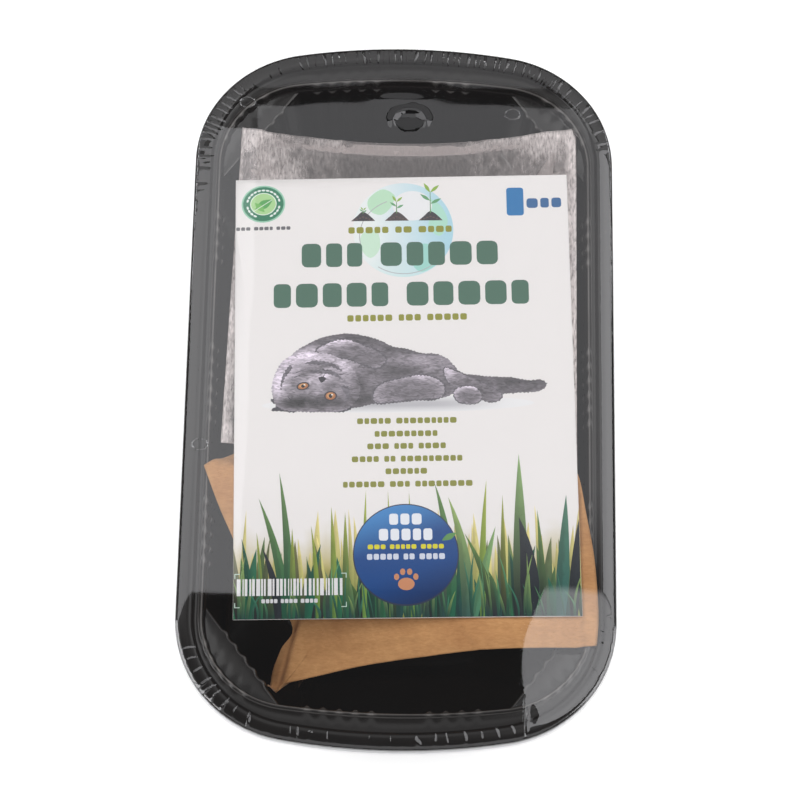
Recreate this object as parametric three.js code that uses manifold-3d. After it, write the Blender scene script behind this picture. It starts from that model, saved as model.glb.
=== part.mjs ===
// A sealed kit for growing grass on a windowsill: a black thermoformed tray holding a clear sachet of
// seed, a kraft paper bag of growing medium and a printed card, all over-wrapped in clear shrink film.
//
// Millimetres, +Z up. +X runs across the tray and +Y along it. The origin is the centre of the flat
// underside of the film, which is what the kit stands on.

import * as THREE from 'three';
import { mergeVertices } from 'three/addons/utils/BufferGeometryUtils.js';
import Module from 'manifold-3d';

const wasm = await Module();
wasm.setup();

// ---------------------------------------------------------------- driving dimensions

const GAP = 0.3; // clearance between pieces that lie against each other
const FILM = 0.4; // wall that stands for the film
const PLASTIC = 0.8; // wall of the tray

const RIM_HALF_WIDTH = 66.3;
const RIM_HALF_LENGTH = 117.8;
const RIM_CORNER = 38.9; // radius of the rim's corners
const RIM_END_RADIUS = 203; // the short ends bow outwards on this radius
const TRAY_HEIGHT = 37.5; // underside of the floor to the top of the rim

const BASE_Z = FILM + GAP; // underside of the tray's floor
const RIM_Z = BASE_Z + TRAY_HEIGHT;
const LIP_DROP = 4.6; // how far the lip turns down below the rim
const RIM_ROUNDING = 1; // edge between the rim and its lip
const RIM_BAND = 4.6; // inset of the inner edge of the raised rim
const LEDGE_INSET = 5.6; // inset of the outer edge of the ledge inside it
const LEDGE_Z = RIM_Z - 1.7;

const MOUTH_HALF_WIDTH = 58.1; // top of the walls, at the ledge's inner edge
const MOUTH_HALF_LENGTH = 106.1;
const MOUTH_CORNER = 28;
const MOUTH_END_RADIUS = 265;

const SHELF_Z = LEDGE_Z - 2.8; // corner shelves, just below the ledge
const SHELF_INSET = 0.6; // the walls have come in this far at the shelves
const CHORD_ANGLE = THREE.MathUtils.degToRad(36.9); // direction that each corner wall faces
const CHORD_DISTANCE = 88.6; // tray's centre to the corner wall, at the ledge's height
const FOOT_Z = BASE_Z + 3.1; // the walls round into the floor here
const FOOT_INSET = 4.2;
const FLOOR_INSET = 6.2;

const RIB_RADIUS = 1.1;
const RIB_PITCH = 4.8;
const RIB_SIDES = 6;
const RIB_STAND = 0.35; // a rib's middle lies this far inside the wall's face
const RIB_FOOT_Z = BASE_Z + 1.8;
const RIB_TOP_Z = LEDGE_Z - 0.5;
const CORNER_RIB_TOP_Z = SHELF_Z - 0.6;
const CORNER_WALL_MIDDLE = 43.5; // along the corner wall, from the foot of its normal to its middle

const SIDE_STEPS = 5; // points along a quarter of an outline
const CORNER_STEPS = 8;
const END_STEPS = 5;

const CARD = { width: 105, length: 148, thickness: 0.35, x: 1.4, y: -2.6, turn: 1.7 };

const BAG_WALL = 0.6; // stands for the sachet's film and for the paper
const FILL_INSET = 1.6; // face of a bag to the face of what it holds

// ---------------------------------------------------------------- rings, lofts and booleans

// A quarter of a tray outline, from the middle of the long side to just short of the middle of the end.
// Its corner is an arc, or a straight wall across the corner where chord gives its distance.
function quarter({ halfWidth, halfLength, corner, endRadius, chord }) {
  const endCentre = halfLength - endRadius;
  let cornerStart;
  let endAngle;
  let cornerPoint;
  if (chord === undefined) {
    const cx = halfWidth - corner;
    const cy = endCentre + Math.sqrt((endRadius - corner) ** 2 - cx ** 2);
    endAngle = Math.atan2(cy - endCentre, cx);
    cornerStart = cy;
    cornerPoint = (t) => [cx + corner * Math.cos(t * endAngle), cy + corner * Math.sin(t * endAngle)];
  } else {
    cornerStart = (chord - halfWidth * Math.cos(CHORD_ANGLE)) / Math.sin(CHORD_ANGLE);
    endAngle = CHORD_ANGLE + Math.acos((chord - endCentre * Math.sin(CHORD_ANGLE)) / endRadius);
    const endX = endRadius * Math.cos(endAngle);
    const endY = endCentre + endRadius * Math.sin(endAngle);
    cornerPoint = (t) => [halfWidth + (endX - halfWidth) * t, cornerStart + (endY - cornerStart) * t];
  }
  const points = [];
  for (let i = 0; i < SIDE_STEPS; i += 1) points.push([halfWidth, (cornerStart * i) / SIDE_STEPS]);
  for (let i = 0; i < CORNER_STEPS; i += 1) points.push(cornerPoint(i / CORNER_STEPS));
  for (let i = 0; i < END_STEPS; i += 1) {
    const angle = endAngle + ((Math.PI / 2 - endAngle) * i) / END_STEPS;
    points.push([endRadius * Math.cos(angle), endCentre + endRadius * Math.sin(angle)]);
  }
  points.push([0, halfLength]);
  return points;
}

// The whole outline, anticlockwise seen from above, at one height.
function trayRing(shape, z) {
  const q = quarter(shape);
  const flip = (sx, sy) => q.map(([x, y]) => [sx * x, sy * y]);
  const outline = [
    ...flip(1, 1).slice(0, -1),
    ...flip(-1, 1).reverse().slice(0, -1),
    ...flip(-1, -1).slice(0, -1),
    ...flip(1, -1).reverse().slice(0, -1),
  ];
  return outline.map(([x, y]) => new THREE.Vector3(x, y, z));
}

// A solid through rings of equal length, from the centre of its top round to the centre of its bottom.
function loft(rings, topCentre, bottomCentre) {
  const count = rings[0].length;
  const positions = [topCentre, ...rings.flat(), bottomCentre].flatMap((p) => [p.x, p.y, p.z]);
  const last = rings.length * count + 1;
  const at = (ring, i) => 1 + ring * count + (i % count);
  const index = [];
  for (let i = 0; i < count; i += 1) {
    index.push(0, at(0, i), at(0, i + 1));
    for (let r = 0; r + 1 < rings.length; r += 1) {
      index.push(at(r, i), at(r + 1, i), at(r + 1, i + 1));
      index.push(at(r, i), at(r + 1, i + 1), at(r, i + 1));
    }
    index.push(last, at(rings.length - 1, i + 1), at(rings.length - 1, i));
  }
  const geometry = new THREE.BufferGeometry();
  geometry.setAttribute('position', new THREE.Float32BufferAttribute(positions, 3));
  geometry.setIndex(index);
  return geometry;
}

// The same geometry with only its positions, and with each corner shared by the faces round it.
function welded(source) {
  const geometry = source.clone();
  geometry.deleteAttribute('normal');
  geometry.deleteAttribute('uv');
  return mergeVertices(geometry, 1e-5);
}

function toManifold(source) {
  const geometry = welded(source);
  return new wasm.Manifold(
    new wasm.Mesh({
      numProp: 3,
      vertProperties: new Float32Array(geometry.attributes.position.array),
      triVerts: new Uint32Array(geometry.index.array),
    }),
  );
}

function fromManifold(solid) {
  const mesh = solid.getMesh();
  const geometry = new THREE.BufferGeometry();
  geometry.setAttribute('position', new THREE.Float32BufferAttribute(mesh.vertProperties, 3));
  geometry.setIndex(Array.from(mesh.triVerts));
  return geometry;
}

function part(name, geometry, colour, roughness, opacity = 1) {
  const material = new THREE.MeshStandardMaterial({
    color: colour,
    roughness,
    metalness: 0,
    opacity,
    transparent: opacity < 1,
  });
  geometry.computeVertexNormals();
  const mesh = new THREE.Mesh(geometry, material);
  mesh.name = name;
  return mesh;
}

const smooth = (low, high, value) => THREE.MathUtils.smoothstep(value, low, high);

// ---------------------------------------------------------------- tray

const rimShape = (inset) => ({
  halfWidth: RIM_HALF_WIDTH - inset,
  halfLength: RIM_HALF_LENGTH - inset,
  corner: RIM_CORNER - inset,
  endRadius: RIM_END_RADIUS - inset,
});

const mouthShape = (inset) => ({
  halfWidth: MOUTH_HALF_WIDTH - inset,
  halfLength: MOUTH_HALF_LENGTH - inset,
  corner: MOUTH_CORNER - inset,
  endRadius: MOUTH_END_RADIUS - inset,
});

const wallShape = (inset) => ({ ...mouthShape(inset), chord: CHORD_DISTANCE - inset });

// How far the walls have come in at a height, between the shelves and the foot.
const wallInset = (z) => SHELF_INSET + ((SHELF_Z - z) / (SHELF_Z - FOOT_Z)) * (FOOT_INSET - SHELF_INSET);

function trayShell() {
  const t = PLASTIC;
  const shelfDrop = 0.3; // rounding at the inner edge of the shelves
  const ledgeRise = 0.2; // the ledge climbs a little towards the rim
  const inside = [
    trayRing(wallShape(FLOOR_INSET), BASE_Z + t),
    trayRing(wallShape(FOOT_INSET), FOOT_Z),
    trayRing(wallShape(SHELF_INSET), SHELF_Z - shelfDrop),
    trayRing(mouthShape(SHELF_INSET / 2), SHELF_Z),
    trayRing(mouthShape(0), LEDGE_Z),
    trayRing(rimShape(LEDGE_INSET), LEDGE_Z + ledgeRise),
    trayRing(rimShape(RIM_BAND), RIM_Z),
    trayRing(rimShape(RIM_ROUNDING), RIM_Z),
    trayRing(rimShape(0), RIM_Z - RIM_ROUNDING),
    trayRing(rimShape(0), RIM_Z - LIP_DROP),
  ];
  const outside = [
    trayRing(rimShape(t), RIM_Z - LIP_DROP),
    trayRing(rimShape(t), RIM_Z - RIM_ROUNDING),
    trayRing(rimShape(RIM_ROUNDING + t / 2), RIM_Z - t),
    trayRing(rimShape(RIM_BAND - t / 2), RIM_Z - t),
    trayRing(rimShape(LEDGE_INSET - t / 2), LEDGE_Z + ledgeRise - t),
    trayRing(mouthShape(-t), LEDGE_Z - t),
    trayRing(mouthShape(SHELF_INSET / 2 - t), SHELF_Z - t),
    trayRing(wallShape(SHELF_INSET - t), SHELF_Z - shelfDrop - t),
    trayRing(wallShape(FOOT_INSET - t), FOOT_Z - t / 2),
    trayRing(wallShape(FLOOR_INSET - t / 2), BASE_Z),
  ];
  const centreTop = new THREE.Vector3(0, 0, BASE_Z + t);
  const centreBottom = new THREE.Vector3(0, 0, BASE_Z);
  return loft([...inside, ...outside], centreTop, centreBottom);
}

// Where the small vertical ribs stand: place on the wall at the ledge's height and the way it faces.
function ribPlaces() {
  const places = [];
  const onEnd = (x, sign) => {
    const centre = MOUTH_HALF_LENGTH - MOUTH_END_RADIUS;
    const angle = Math.acos(x / MOUTH_END_RADIUS);
    const y = centre + MOUTH_END_RADIUS * Math.sin(angle);
    places.push({ x, y: sign * y, nx: Math.cos(angle), ny: sign * Math.sin(angle), top: RIB_TOP_Z });
  };
  const endGroups = [
    { sign: 1, first: -28.3, count: 5 },
    { sign: 1, first: 9.8, count: 3 },
    { sign: -1, first: -26, count: 5 },
    { sign: -1, first: 10.5, count: 4 },
  ];
  for (const { sign, first, count } of endGroups) {
    for (let i = 0; i < count; i += 1) onEnd(first + i * RIB_PITCH, sign);
  }
  const sideGroups = [
    { middle: 50, count: 4 },
    { middle: 0, count: 6 },
    { middle: -49, count: 5 },
  ];
  for (const sign of [1, -1]) {
    for (const { middle, count } of sideGroups) {
      for (let i = 0; i < count; i += 1) {
        const y = middle + (i - (count - 1) / 2) * RIB_PITCH;
        places.push({ x: sign * MOUTH_HALF_WIDTH, y, nx: sign, ny: 0, top: RIB_TOP_Z });
      }
    }
  }
  const cornerCount = 5;
  const nx = Math.cos(CHORD_ANGLE);
  const ny = Math.sin(CHORD_ANGLE);
  for (const sx of [1, -1]) {
    for (const sy of [1, -1]) {
      for (let i = 0; i < cornerCount; i += 1) {
        const along = CORNER_WALL_MIDDLE + (i - (cornerCount - 1) / 2) * RIB_PITCH;
        const x = nx * CHORD_DISTANCE - ny * along;
        const y = ny * CHORD_DISTANCE + nx * along;
        places.push({ x: sx * x, y: sy * y, nx: sx * nx, ny: sy * ny, top: CORNER_RIB_TOP_Z });
      }
    }
  }
  return places;
}

// One rib: a round bar that follows the wall's draft and stands about half out of its inner face.
function rib({ x, y, nx, ny, top }) {
  const point = (z) => {
    const inset = wallInset(z) + RIB_STAND;
    return new THREE.Vector3(x - nx * inset, y - ny * inset, z);
  };
  const low = point(RIB_FOOT_Z);
  const high = point(top);
  const along = high.clone().sub(low);
  const geometry = new THREE.CylinderGeometry(RIB_RADIUS * 0.8, RIB_RADIUS, along.length(), RIB_SIDES);
  const barAxis = new THREE.Vector3(0, 1, 0);
  const turn = new THREE.Quaternion().setFromUnitVectors(barAxis, along.clone().normalize());
  const middle = low.clone().add(high).multiplyScalar(0.5);
  geometry.applyMatrix4(new THREE.Matrix4().compose(middle, turn, new THREE.Vector3(1, 1, 1)));
  return toManifold(geometry);
}

function tray() {
  const solid = wasm.Manifold.union([toManifold(trayShell()), ...ribPlaces().map(rib)]);
  return part('tray', fromManifold(solid), 0x141416, 0.4);
}

// ---------------------------------------------------------------- shrink film

// The film is taut over the rim, turns down round the lip and runs in to the tray's base.
function filmSkin(inset) {
  const outside = GAP + FILM - inset; // film's face to the tray's rim
  const top = RIM_Z + outside;
  const baseReach = PLASTIC + 0.2 + outside;
  const rings = [
    trayRing(rimShape(RIM_ROUNDING - outside * 0.4), top),
    trayRing(rimShape(-outside), RIM_Z - RIM_ROUNDING),
    trayRing(rimShape(-outside), RIM_Z - LIP_DROP - GAP),
    trayRing(wallShape(FOOT_INSET - baseReach), inset),
  ];
  return toManifold(loft(rings, new THREE.Vector3(0, 0, top), new THREE.Vector3(0, 0, inset)));
}

function shrinkFilm() {
  const vents = [
    { x: 34.5, y: 94 },
    { x: -50, y: 96.5 },
    { x: -61, y: -21.5 },
    { x: 1.6, y: 93.5 },
  ];
  const ventRadius = 1.6;
  let solid = filmSkin(0).subtract(filmSkin(FILM));
  for (const { x, y } of vents) {
    const punch = new THREE.CylinderGeometry(ventRadius, ventRadius, 3, 12);
    punch.rotateX(Math.PI / 2);
    punch.translate(x, y, RIM_Z + GAP + FILM / 2);
    solid = solid.subtract(toManifold(punch));
  }
  return part('shrink_film', fromManifold(solid), 0xf4f6f8, 0.08, 0.2);
}

// ---------------------------------------------------------------- printed card

function printedCard() {
  const board = welded(new THREE.BoxGeometry(CARD.width, CARD.length, CARD.thickness, 4, 6, 1));
  const card = part('printed_card', board, 0xf2f1ec, 0.35);
  card.position.set(CARD.x, CARD.y, RIM_Z - CARD.thickness / 2);
  card.rotation.z = THREE.MathUtils.degToRad(CARD.turn);
  return card;
}

// ---------------------------------------------------------------- bags and what they hold

// A pouch's outline is drawn once and shrunk towards its centre. Each level has a share of the outline
// and what sets the height of its underside. Where squash is under 1 the pouch is pressed down.
// An inset draws the skin that far inside the outer one, through the thick middle of the pouch only.
const THICK_LEVELS = 3; // levels from this one inwards belong to the thick middle
const SHARE_PER_MM = 0.02; // share of the outline that one millimetre of inset takes off

function pouch(outline, centre, allLevels, inset, topAt, bottomAt, squash = () => 1) {
  const levels = inset > 0 ? allLevels.slice(THICK_LEVELS) : allLevels;
  const ring = (share, height) =>
    outline.map(([x, y]) => {
      const px = centre[0] + (x - centre[0]) * share;
      const py = centre[1] + (y - centre[1]) * share;
      return new THREE.Vector3(px, py, height(px, py) * squash(px, py));
    });
  const shrunk = (share) => share - inset * SHARE_PER_MM;
  const upper = levels.map(({ share }) => ring(shrunk(share), (x, y) => topAt(x, y) - inset));
  const lower = levels.map(({ share, level }) =>
    ring(shrunk(share), (x, y) => bottomAt(x, y, level, inset)),
  );
  const [cx, cy] = centre;
  const innermost = levels[levels.length - 1].level;
  const top = new THREE.Vector3(cx, cy, topAt(cx, cy) - inset);
  const bottom = new THREE.Vector3(cx, cy, bottomAt(cx, cy, innermost, inset));
  return loft([...upper.reverse(), ...lower], top, bottom);
}

function roundedRectangle(cx, cy, width, length, radius, cornerSteps, edgeSteps) {
  const outline = [];
  const corners = [
    [1, -1, -Math.PI / 2],
    [1, 1, 0],
    [-1, 1, Math.PI / 2],
    [-1, -1, Math.PI],
  ];
  for (const [sx, sy, start] of corners) {
    const ox = cx + sx * (width / 2 - radius);
    const oy = cy + sy * (length / 2 - radius);
    for (let i = 0; i <= cornerSteps; i += 1) {
      const angle = start + (Math.PI / 2) * (i / cornerSteps);
      outline.push([ox + radius * Math.cos(angle), oy + radius * Math.sin(angle)]);
    }
  }
  const filled = [];
  outline.forEach((point, i) => {
    const next = outline[(i + 1) % outline.length];
    const steps = (i + 1) % (cornerSteps + 1) === 0 ? edgeSteps : 1;
    for (let k = 0; k < steps; k += 1) {
      filled.push([
        point[0] + ((next[0] - point[0]) * k) / steps,
        point[1] + ((next[1] - point[1]) * k) / steps,
      ]);
    }
  });
  return filled;
}

const CONTENTS_TOP = RIM_Z - CARD.thickness - GAP; // the bags reach up to just under the card

// The sachet hangs in the far half of the tray, its corners on the corner shelves and its near end on
// the paper bag. Its far end sags in the middle.
const SACHET = { width: 107, length: 115.5, x: 0.9, y: 33.2, radius: 5 };
const SACHET_DEPTH = 21;
const sachetOutline = roundedRectangle(SACHET.x, SACHET.y, SACHET.width, SACHET.length, SACHET.radius, 2, 5);
const sachetTop = (x, y) => {
  const far = smooth(64, 92, y);
  return CONTENTS_TOP - 0.1 - far * (0.6 + 6.5 * (1 - (x / 54) ** 2));
};

function sachetSkin(inset) {
  const seal = 0.9; // thickness along the sealed edges
  const levels = [
    { share: 1, level: seal },
    { share: 0.93, level: seal + 0.1 },
    { share: 0.875, level: seal + 0.3 },
    { share: 0.82, level: 8 },
    { share: 0.74, level: 16 },
    { share: 0.55, level: SACHET_DEPTH },
  ];
  const bottomAt = (x, y, depth, shift) => sachetTop(x, y) - (depth - shift);
  return pouch(sachetOutline, [SACHET.x, SACHET.y], levels, inset, sachetTop, bottomAt);
}

// The wall is pierced under the seed by a small vent, so that the sachet lies flat when it is packed.
function seedBag() {
  const ventRadius = 1.5;
  const vent = new THREE.CylinderGeometry(ventRadius, ventRadius, 6, 10);
  vent.rotateX(Math.PI / 2);
  vent.translate(SACHET.x, SACHET.y + 20, CONTENTS_TOP - SACHET_DEPTH);
  const pierced = toManifold(sachetSkin(0)).subtract(toManifold(vent));
  const solid = pierced.subtract(toManifold(sachetSkin(BAG_WALL)));
  return part('seed_bag', fromManifold(solid), 0xc9ccce, 0.2, 0.35);
}

function wheatSeeds() {
  return part('wheat_seeds', sachetSkin(FILL_INSET), 0xc79a58, 0.7);
}

// The paper bag fills the near half. Its flat side margins lie on the tray's ledges and its filled body
// hangs between them. Its near end droops towards one corner.
const paperOutline = [
  [60.3, -66],
  [59.2, -55],
  [57.4, -42],
  [55, -29],
  [51, -21],
  [26, -19.5],
  [0, -19.5],
  [-26, -20],
  [-48, -21.5],
  [-59.5, -28],
  [-55.6, -38],
  [-51, -48.5],
  [-45, -64],
  [-39.5, -79],
  [-38, -91],
  [-33, -89],
  [-12, -87],
  [12, -85],
  [36, -84],
  [57.5, -83.5],
  [60, -76],
];
const PAPER_CENTRE = [3, -50];
const paperDroop = (x, y) => 1 - 0.42 * smooth(66, 92, -y) * smooth(-30, 40, -x);
const paperTop = (x, y) => CONTENTS_TOP - 2.4 * smooth(-28, -22, y);

function paperSkin(inset) {
  const levels = [
    { share: 1, level: 37 },
    { share: 0.93, level: 36.8 },
    { share: 0.86, level: 34.2 },
    { share: 0.8, level: 26 },
    { share: 0.72, level: 11 },
    { share: 0.6, level: BASE_Z + PLASTIC + 2 * GAP },
  ];
  const margin = 0.5; // the margins' two layers of paper
  const bottomAt = (x, y, low, shift) => Math.min(low + shift, paperTop(x, y) - margin);
  return pouch(paperOutline, PAPER_CENTRE, levels, inset, paperTop, bottomAt, paperDroop);
}

// The mouth is only folded over, which leaves a slit into the bag at its far end.
function kraftBag() {
  const slit = new THREE.BoxGeometry(30, 14, 2);
  slit.translate(PAPER_CENTRE[0], -22, 24);
  const opened = toManifold(paperSkin(0)).subtract(toManifold(slit));
  const solid = opened.subtract(toManifold(paperSkin(BAG_WALL)));
  return part('kraft_bag', fromManifold(solid), 0xbe8c5f, 0.85);
}

function growingMedium() {
  return part('growing_medium', paperSkin(FILL_INSET), 0x4a3424, 0.95);
}

// ---------------------------------------------------------------- the kit

const group = new THREE.Group();
group.add(tray(), shrinkFilm(), printedCard(), seedBag(), wheatSeeds(), kraftBag(), growingMedium());

export default group;
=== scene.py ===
import math
import random

import bmesh
import bpy
from mathutils import Matrix, Vector, geometry, noise


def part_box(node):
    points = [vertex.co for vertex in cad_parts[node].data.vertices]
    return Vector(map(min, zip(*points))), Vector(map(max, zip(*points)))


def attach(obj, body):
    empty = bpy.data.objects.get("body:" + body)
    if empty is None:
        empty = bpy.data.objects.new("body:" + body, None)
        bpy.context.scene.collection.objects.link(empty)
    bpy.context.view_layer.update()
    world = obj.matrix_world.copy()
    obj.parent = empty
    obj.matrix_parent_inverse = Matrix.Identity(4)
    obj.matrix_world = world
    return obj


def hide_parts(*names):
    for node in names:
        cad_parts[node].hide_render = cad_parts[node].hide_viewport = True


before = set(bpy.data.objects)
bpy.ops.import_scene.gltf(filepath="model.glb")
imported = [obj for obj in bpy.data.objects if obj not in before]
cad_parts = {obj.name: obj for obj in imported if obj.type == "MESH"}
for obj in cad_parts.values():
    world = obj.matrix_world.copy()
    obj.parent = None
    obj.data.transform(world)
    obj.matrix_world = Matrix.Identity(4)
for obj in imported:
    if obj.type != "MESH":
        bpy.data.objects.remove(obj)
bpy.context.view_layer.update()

# It stands a metre away, so that the tray's sides stay nearly parallel.
camera_elevation = math.radians(66.8)
camera_azimuth = math.radians(-0.5)
camera_roll = math.radians(-0.46)
camera_distance = 1.037
forward = Vector((
    math.sin(camera_azimuth) * math.cos(camera_elevation),
    math.cos(camera_azimuth) * math.cos(camera_elevation),
    -math.sin(camera_elevation),
))
level = Vector((math.cos(camera_azimuth), -math.sin(camera_azimuth), 0))
upward = level.cross(forward)
right = level * math.cos(camera_roll) - upward * math.sin(camera_roll)
upward = level * math.sin(camera_roll) + upward * math.cos(camera_roll)
tray_low, tray_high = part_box("tray")
aim = Vector((0, 0, tray_high.z))
camera_place = aim - forward * camera_distance
bpy.ops.object.camera_add()
camera = bpy.context.object
camera.name = "camera"
camera_turn = Matrix((right, upward, -forward)).transposed().to_4x4()
camera.matrix_world = Matrix.Translation(camera_place) @ camera_turn
camera.data.sensor_width = 36
camera.data.lens = 151
camera.data.shift_y = -0.0211
bpy.context.scene.camera = camera

# Tray
# The growing tray is one thin sheet of black plastic, heated and drawn down over a mould. Its lip is turned
# down and trimmed, a ledge runs round inside the rim, and rows of small upright ribs stiffen its walls.
mm = 0.001
sheet_thickness = 0.7 * mm
rim_half_width, rim_half_length, rim_top = tray_high
floor_top = tray_low.z + 0.8 * mm
ledge_top = rim_top - 1.7 * mm
shelf_top = ledge_top - 2.8 * mm
foot_top = tray_low.z + 3.1 * mm
rim_corner_radius, rim_end_radius = 38.9 * mm, 203 * mm
mouth_side_inset, mouth_end_inset = 8.2 * mm, 11.7 * mm
mouth_corner_radius, mouth_end_radius = 28 * mm, 265 * mm
chord_angle = math.radians(36.9)
chord_distance = 90 * mm


# An outline of the tray: half its width, half its length, the radii of its corners and of its bowed ends,
# and how far from the middle a straight chord cuts each corner, if one does.
def rim_shape(inset):
    return (rim_half_width - inset, rim_half_length - inset, rim_corner_radius - inset,
            rim_end_radius - inset, None)


def mouth_shape(inset):
    return (rim_half_width - mouth_side_inset - inset, rim_half_length - mouth_end_inset - inset,
            mouth_corner_radius - inset, mouth_end_radius - inset, None)


def wall_shape(inset):
    return *mouth_shape(inset)[:4], chord_distance - inset


# One lap of a tray outline. Each point also says which kind of wall it is on.
def lap(shape, side_steps, corner_steps, end_steps):
    half_width, half_length, corner, end_radius, chord = shape
    end_centre = half_length - end_radius
    if chord is None:
        centre_x = half_width - corner
        centre_y = end_centre + math.sqrt((end_radius - corner) ** 2 - centre_x ** 2)
        turn = math.atan2(centre_y - end_centre, centre_x)
        angles = [turn * i / corner_steps for i in range(corner_steps)]
        corner_points = [(centre_x + corner * math.cos(a), centre_y + corner * math.sin(a)) for a in angles]
    else:
        centre_y = (chord - half_width * math.cos(chord_angle)) / math.sin(chord_angle)
        turn = chord_angle + math.acos((chord - end_centre * math.sin(chord_angle)) / end_radius)
        end_x, end_y = end_radius * math.cos(turn), end_centre + end_radius * math.sin(turn)
        shares = [i / corner_steps for i in range(corner_steps)]
        corner_points = [(half_width + (end_x - half_width) * t, centre_y + (end_y - centre_y) * t)
                         for t in shares]
    turns = [turn + (math.pi / 2 - turn) * i / end_steps for i in range(end_steps)]
    quarter = [(half_width, centre_y * i / side_steps, "side") for i in range(side_steps)]
    quarter += [(x, y, "corner") for x, y in corner_points]
    quarter += [(end_radius * math.cos(a), end_centre + end_radius * math.sin(a), "end") for a in turns]
    quarter.append((0, half_length, "end"))
    laps = []
    for sign_x, sign_y, order in ((1, 1, 1), (-1, 1, -1), (-1, -1, 1), (1, -1, -1)):
        laps += [(sign_x * x, sign_y * y, wall) for x, y, wall in quarter[::order]][:-1]
    return laps


# A sheet drawn from one edge loop: each new ring of points is extruded from the last one. Where an amount of
# painted highlight is given for every point, it is kept on the sheet for its material to read.
def grow(name, rings, close_start=True, close_end=True, painted_shine=None):
    bpy.ops.object.select_all(action="DESELECT")
    bpy.ops.mesh.primitive_circle_add(vertices=len(rings[0]), radius=10 * mm)
    piece = bpy.context.object
    piece.name = name
    for vertex, place in zip(piece.data.vertices, rings[0]):
        vertex.co = place
    bpy.ops.object.mode_set(mode="EDIT")
    bpy.ops.mesh.select_mode(type="EDGE")
    bpy.ops.mesh.select_all(action="SELECT")
    if close_start:
        bpy.ops.mesh.edge_face_add()
    edge_loop = list(range(len(rings[0])))
    loops = [edge_loop]
    for ring in rings[1:]:
        bpy.ops.mesh.extrude_edges_move()
        shell = bmesh.from_edit_mesh(piece.data)
        shell.verts.ensure_lookup_table()
        shell.verts.index_update()
        next_loop = []
        for index, place in zip(edge_loop, ring):
            old = shell.verts[index]
            new = next(edge.other_vert(old) for edge in old.link_edges if edge.other_vert(old).select)
            new.co = place
            next_loop.append(new.index)
        edge_loop = next_loop
        loops.append(edge_loop)
    if close_end:
        bpy.ops.mesh.edge_face_add()
    bpy.ops.mesh.select_all(action="SELECT")
    bpy.ops.mesh.normals_make_consistent(inside=False)
    bpy.ops.object.mode_set(mode="OBJECT")
    bpy.ops.object.shade_smooth()
    if painted_shine:
        marks = piece.data.attributes.new("painted_shine", "FLOAT", "POINT")
        for loop, amounts in zip(loops, painted_shine):
            for index, amount in zip(loop, amounts):
                marks.data[index].value = amount
    return piece


rib_pitch = 4.8 * mm
rib_half_width = 1.9 * mm
rib_height = 1.2 * mm
corner_rib_share = 0.6
corner_wall_middle = 43.5 * mm


def rib_group(middle, count):
    return [middle * mm + (i - (count - 1) / 2) * rib_pitch for i in range(count)]


side_ribs = rib_group(50, 4) + rib_group(0, 6) + rib_group(-49, 5)
far_ribs = rib_group(-18.7, 5) + rib_group(14.6, 3)
near_ribs = rib_group(-16.4, 5) + rib_group(17.7, 4)
corner_ribs = rib_group(0, 5)


# How much of a rib there is at a point of the wall, and which way the wall faces there.
def rib_share(x, y, wall):
    if wall == "side":
        along, centres, facing = y, side_ribs, Vector((-math.copysign(1, x), 0, 0))
    elif wall == "end":
        along, centres, facing = x, far_ribs if y > 0 else near_ribs, Vector((0, -math.copysign(1, y), 0))
    else:
        along = abs(y) * math.cos(chord_angle) - abs(x) * math.sin(chord_angle) - corner_wall_middle
        centres = corner_ribs
        facing = corner_rib_share * Vector((-math.copysign(math.cos(chord_angle), x),
                                            -math.copysign(math.sin(chord_angle), y), 0))
    gap = min(abs(along - centre) for centre in centres)
    share = 0.5 + 0.5 * math.cos(math.pi * gap / rib_half_width) if gap < rib_half_width else 0
    return share, facing


# A ring of the tray. Ribs push it inwards, and they dip it where they cut through the bead on its edge.
# The plastic is painted greyer along its sharp edges and on the ends of its ribs: a painted highlight.
tray_lap_steps = (110, 64, 52)
tray_painted_shine = []


def tray_ring(shape, height, ribs=0, dip=0, painted_shine=0, rib_painted_shine=0):
    ring, amounts = [], []
    for x, y, wall in lap(shape, *tray_lap_steps):
        share, facing = rib_share(x, y, wall)
        ring.append(Vector((x, y, height - dip * share)) + facing * rib_height * ribs * share)
        amounts.append(painted_shine + rib_painted_shine * share)
    tray_painted_shine.append(amounts)
    return ring


# The wall leans out from its foot to the shelves.
def wall_inset(height):
    return 4.2 * mm - 3.6 * mm * (height - foot_top) / (shelf_top - foot_top)


# The floor has a raised panel with a soft step round it, then come the wall, the shelves, the mouth with a
# bead on its edge, the ledge, and the rim that rolls over into the lip. Numbers are in millimetres.
panel_rise = 0.9
panel_steps = ((0.3, panel_rise), (0.6, panel_rise), (0.76, panel_rise),
               (0.775, 0.75), (0.79, 0.2), (0.805, 0))
floor_ring = tray_ring(wall_shape(6.2 * mm), floor_top)
tray_painted_shine = tray_painted_shine * (len(panel_steps) + 1)
tray_rings = []
for share, rise in panel_steps:
    height = floor_top + rise * mm
    tray_rings.append([Vector((point.x * share, point.y * share, height)) for point in floor_ring])
tray_rings.append(floor_ring)
for inset, rise, ribs in ((5.4, 0.15, 0.2), (4.8, 0.7, 0.6), (4.4, 1.5, 0.9)):
    tray_rings.append(tray_ring(wall_shape(inset * mm), floor_top + rise * mm, ribs))
for height in (foot_top, 9 * mm, 15 * mm, 21 * mm, 27 * mm, 31 * mm, shelf_top - 0.5 * mm):
    tray_rings.append(tray_ring(wall_shape(wall_inset(height)), height, 1))
tray_rings.append(tray_ring(wall_shape(0.45 * mm), shelf_top - 0.1 * mm, 0.95, painted_shine=0.1, rib_painted_shine=0.15))
tray_rings.append(tray_ring(wall_shape(0.1 * mm), shelf_top, 0.85, painted_shine=0.15, rib_painted_shine=0.15))
tray_rings.append(tray_ring(wall_shape(-0.2 * mm), shelf_top + 0.02 * mm, 0.6))
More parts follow.
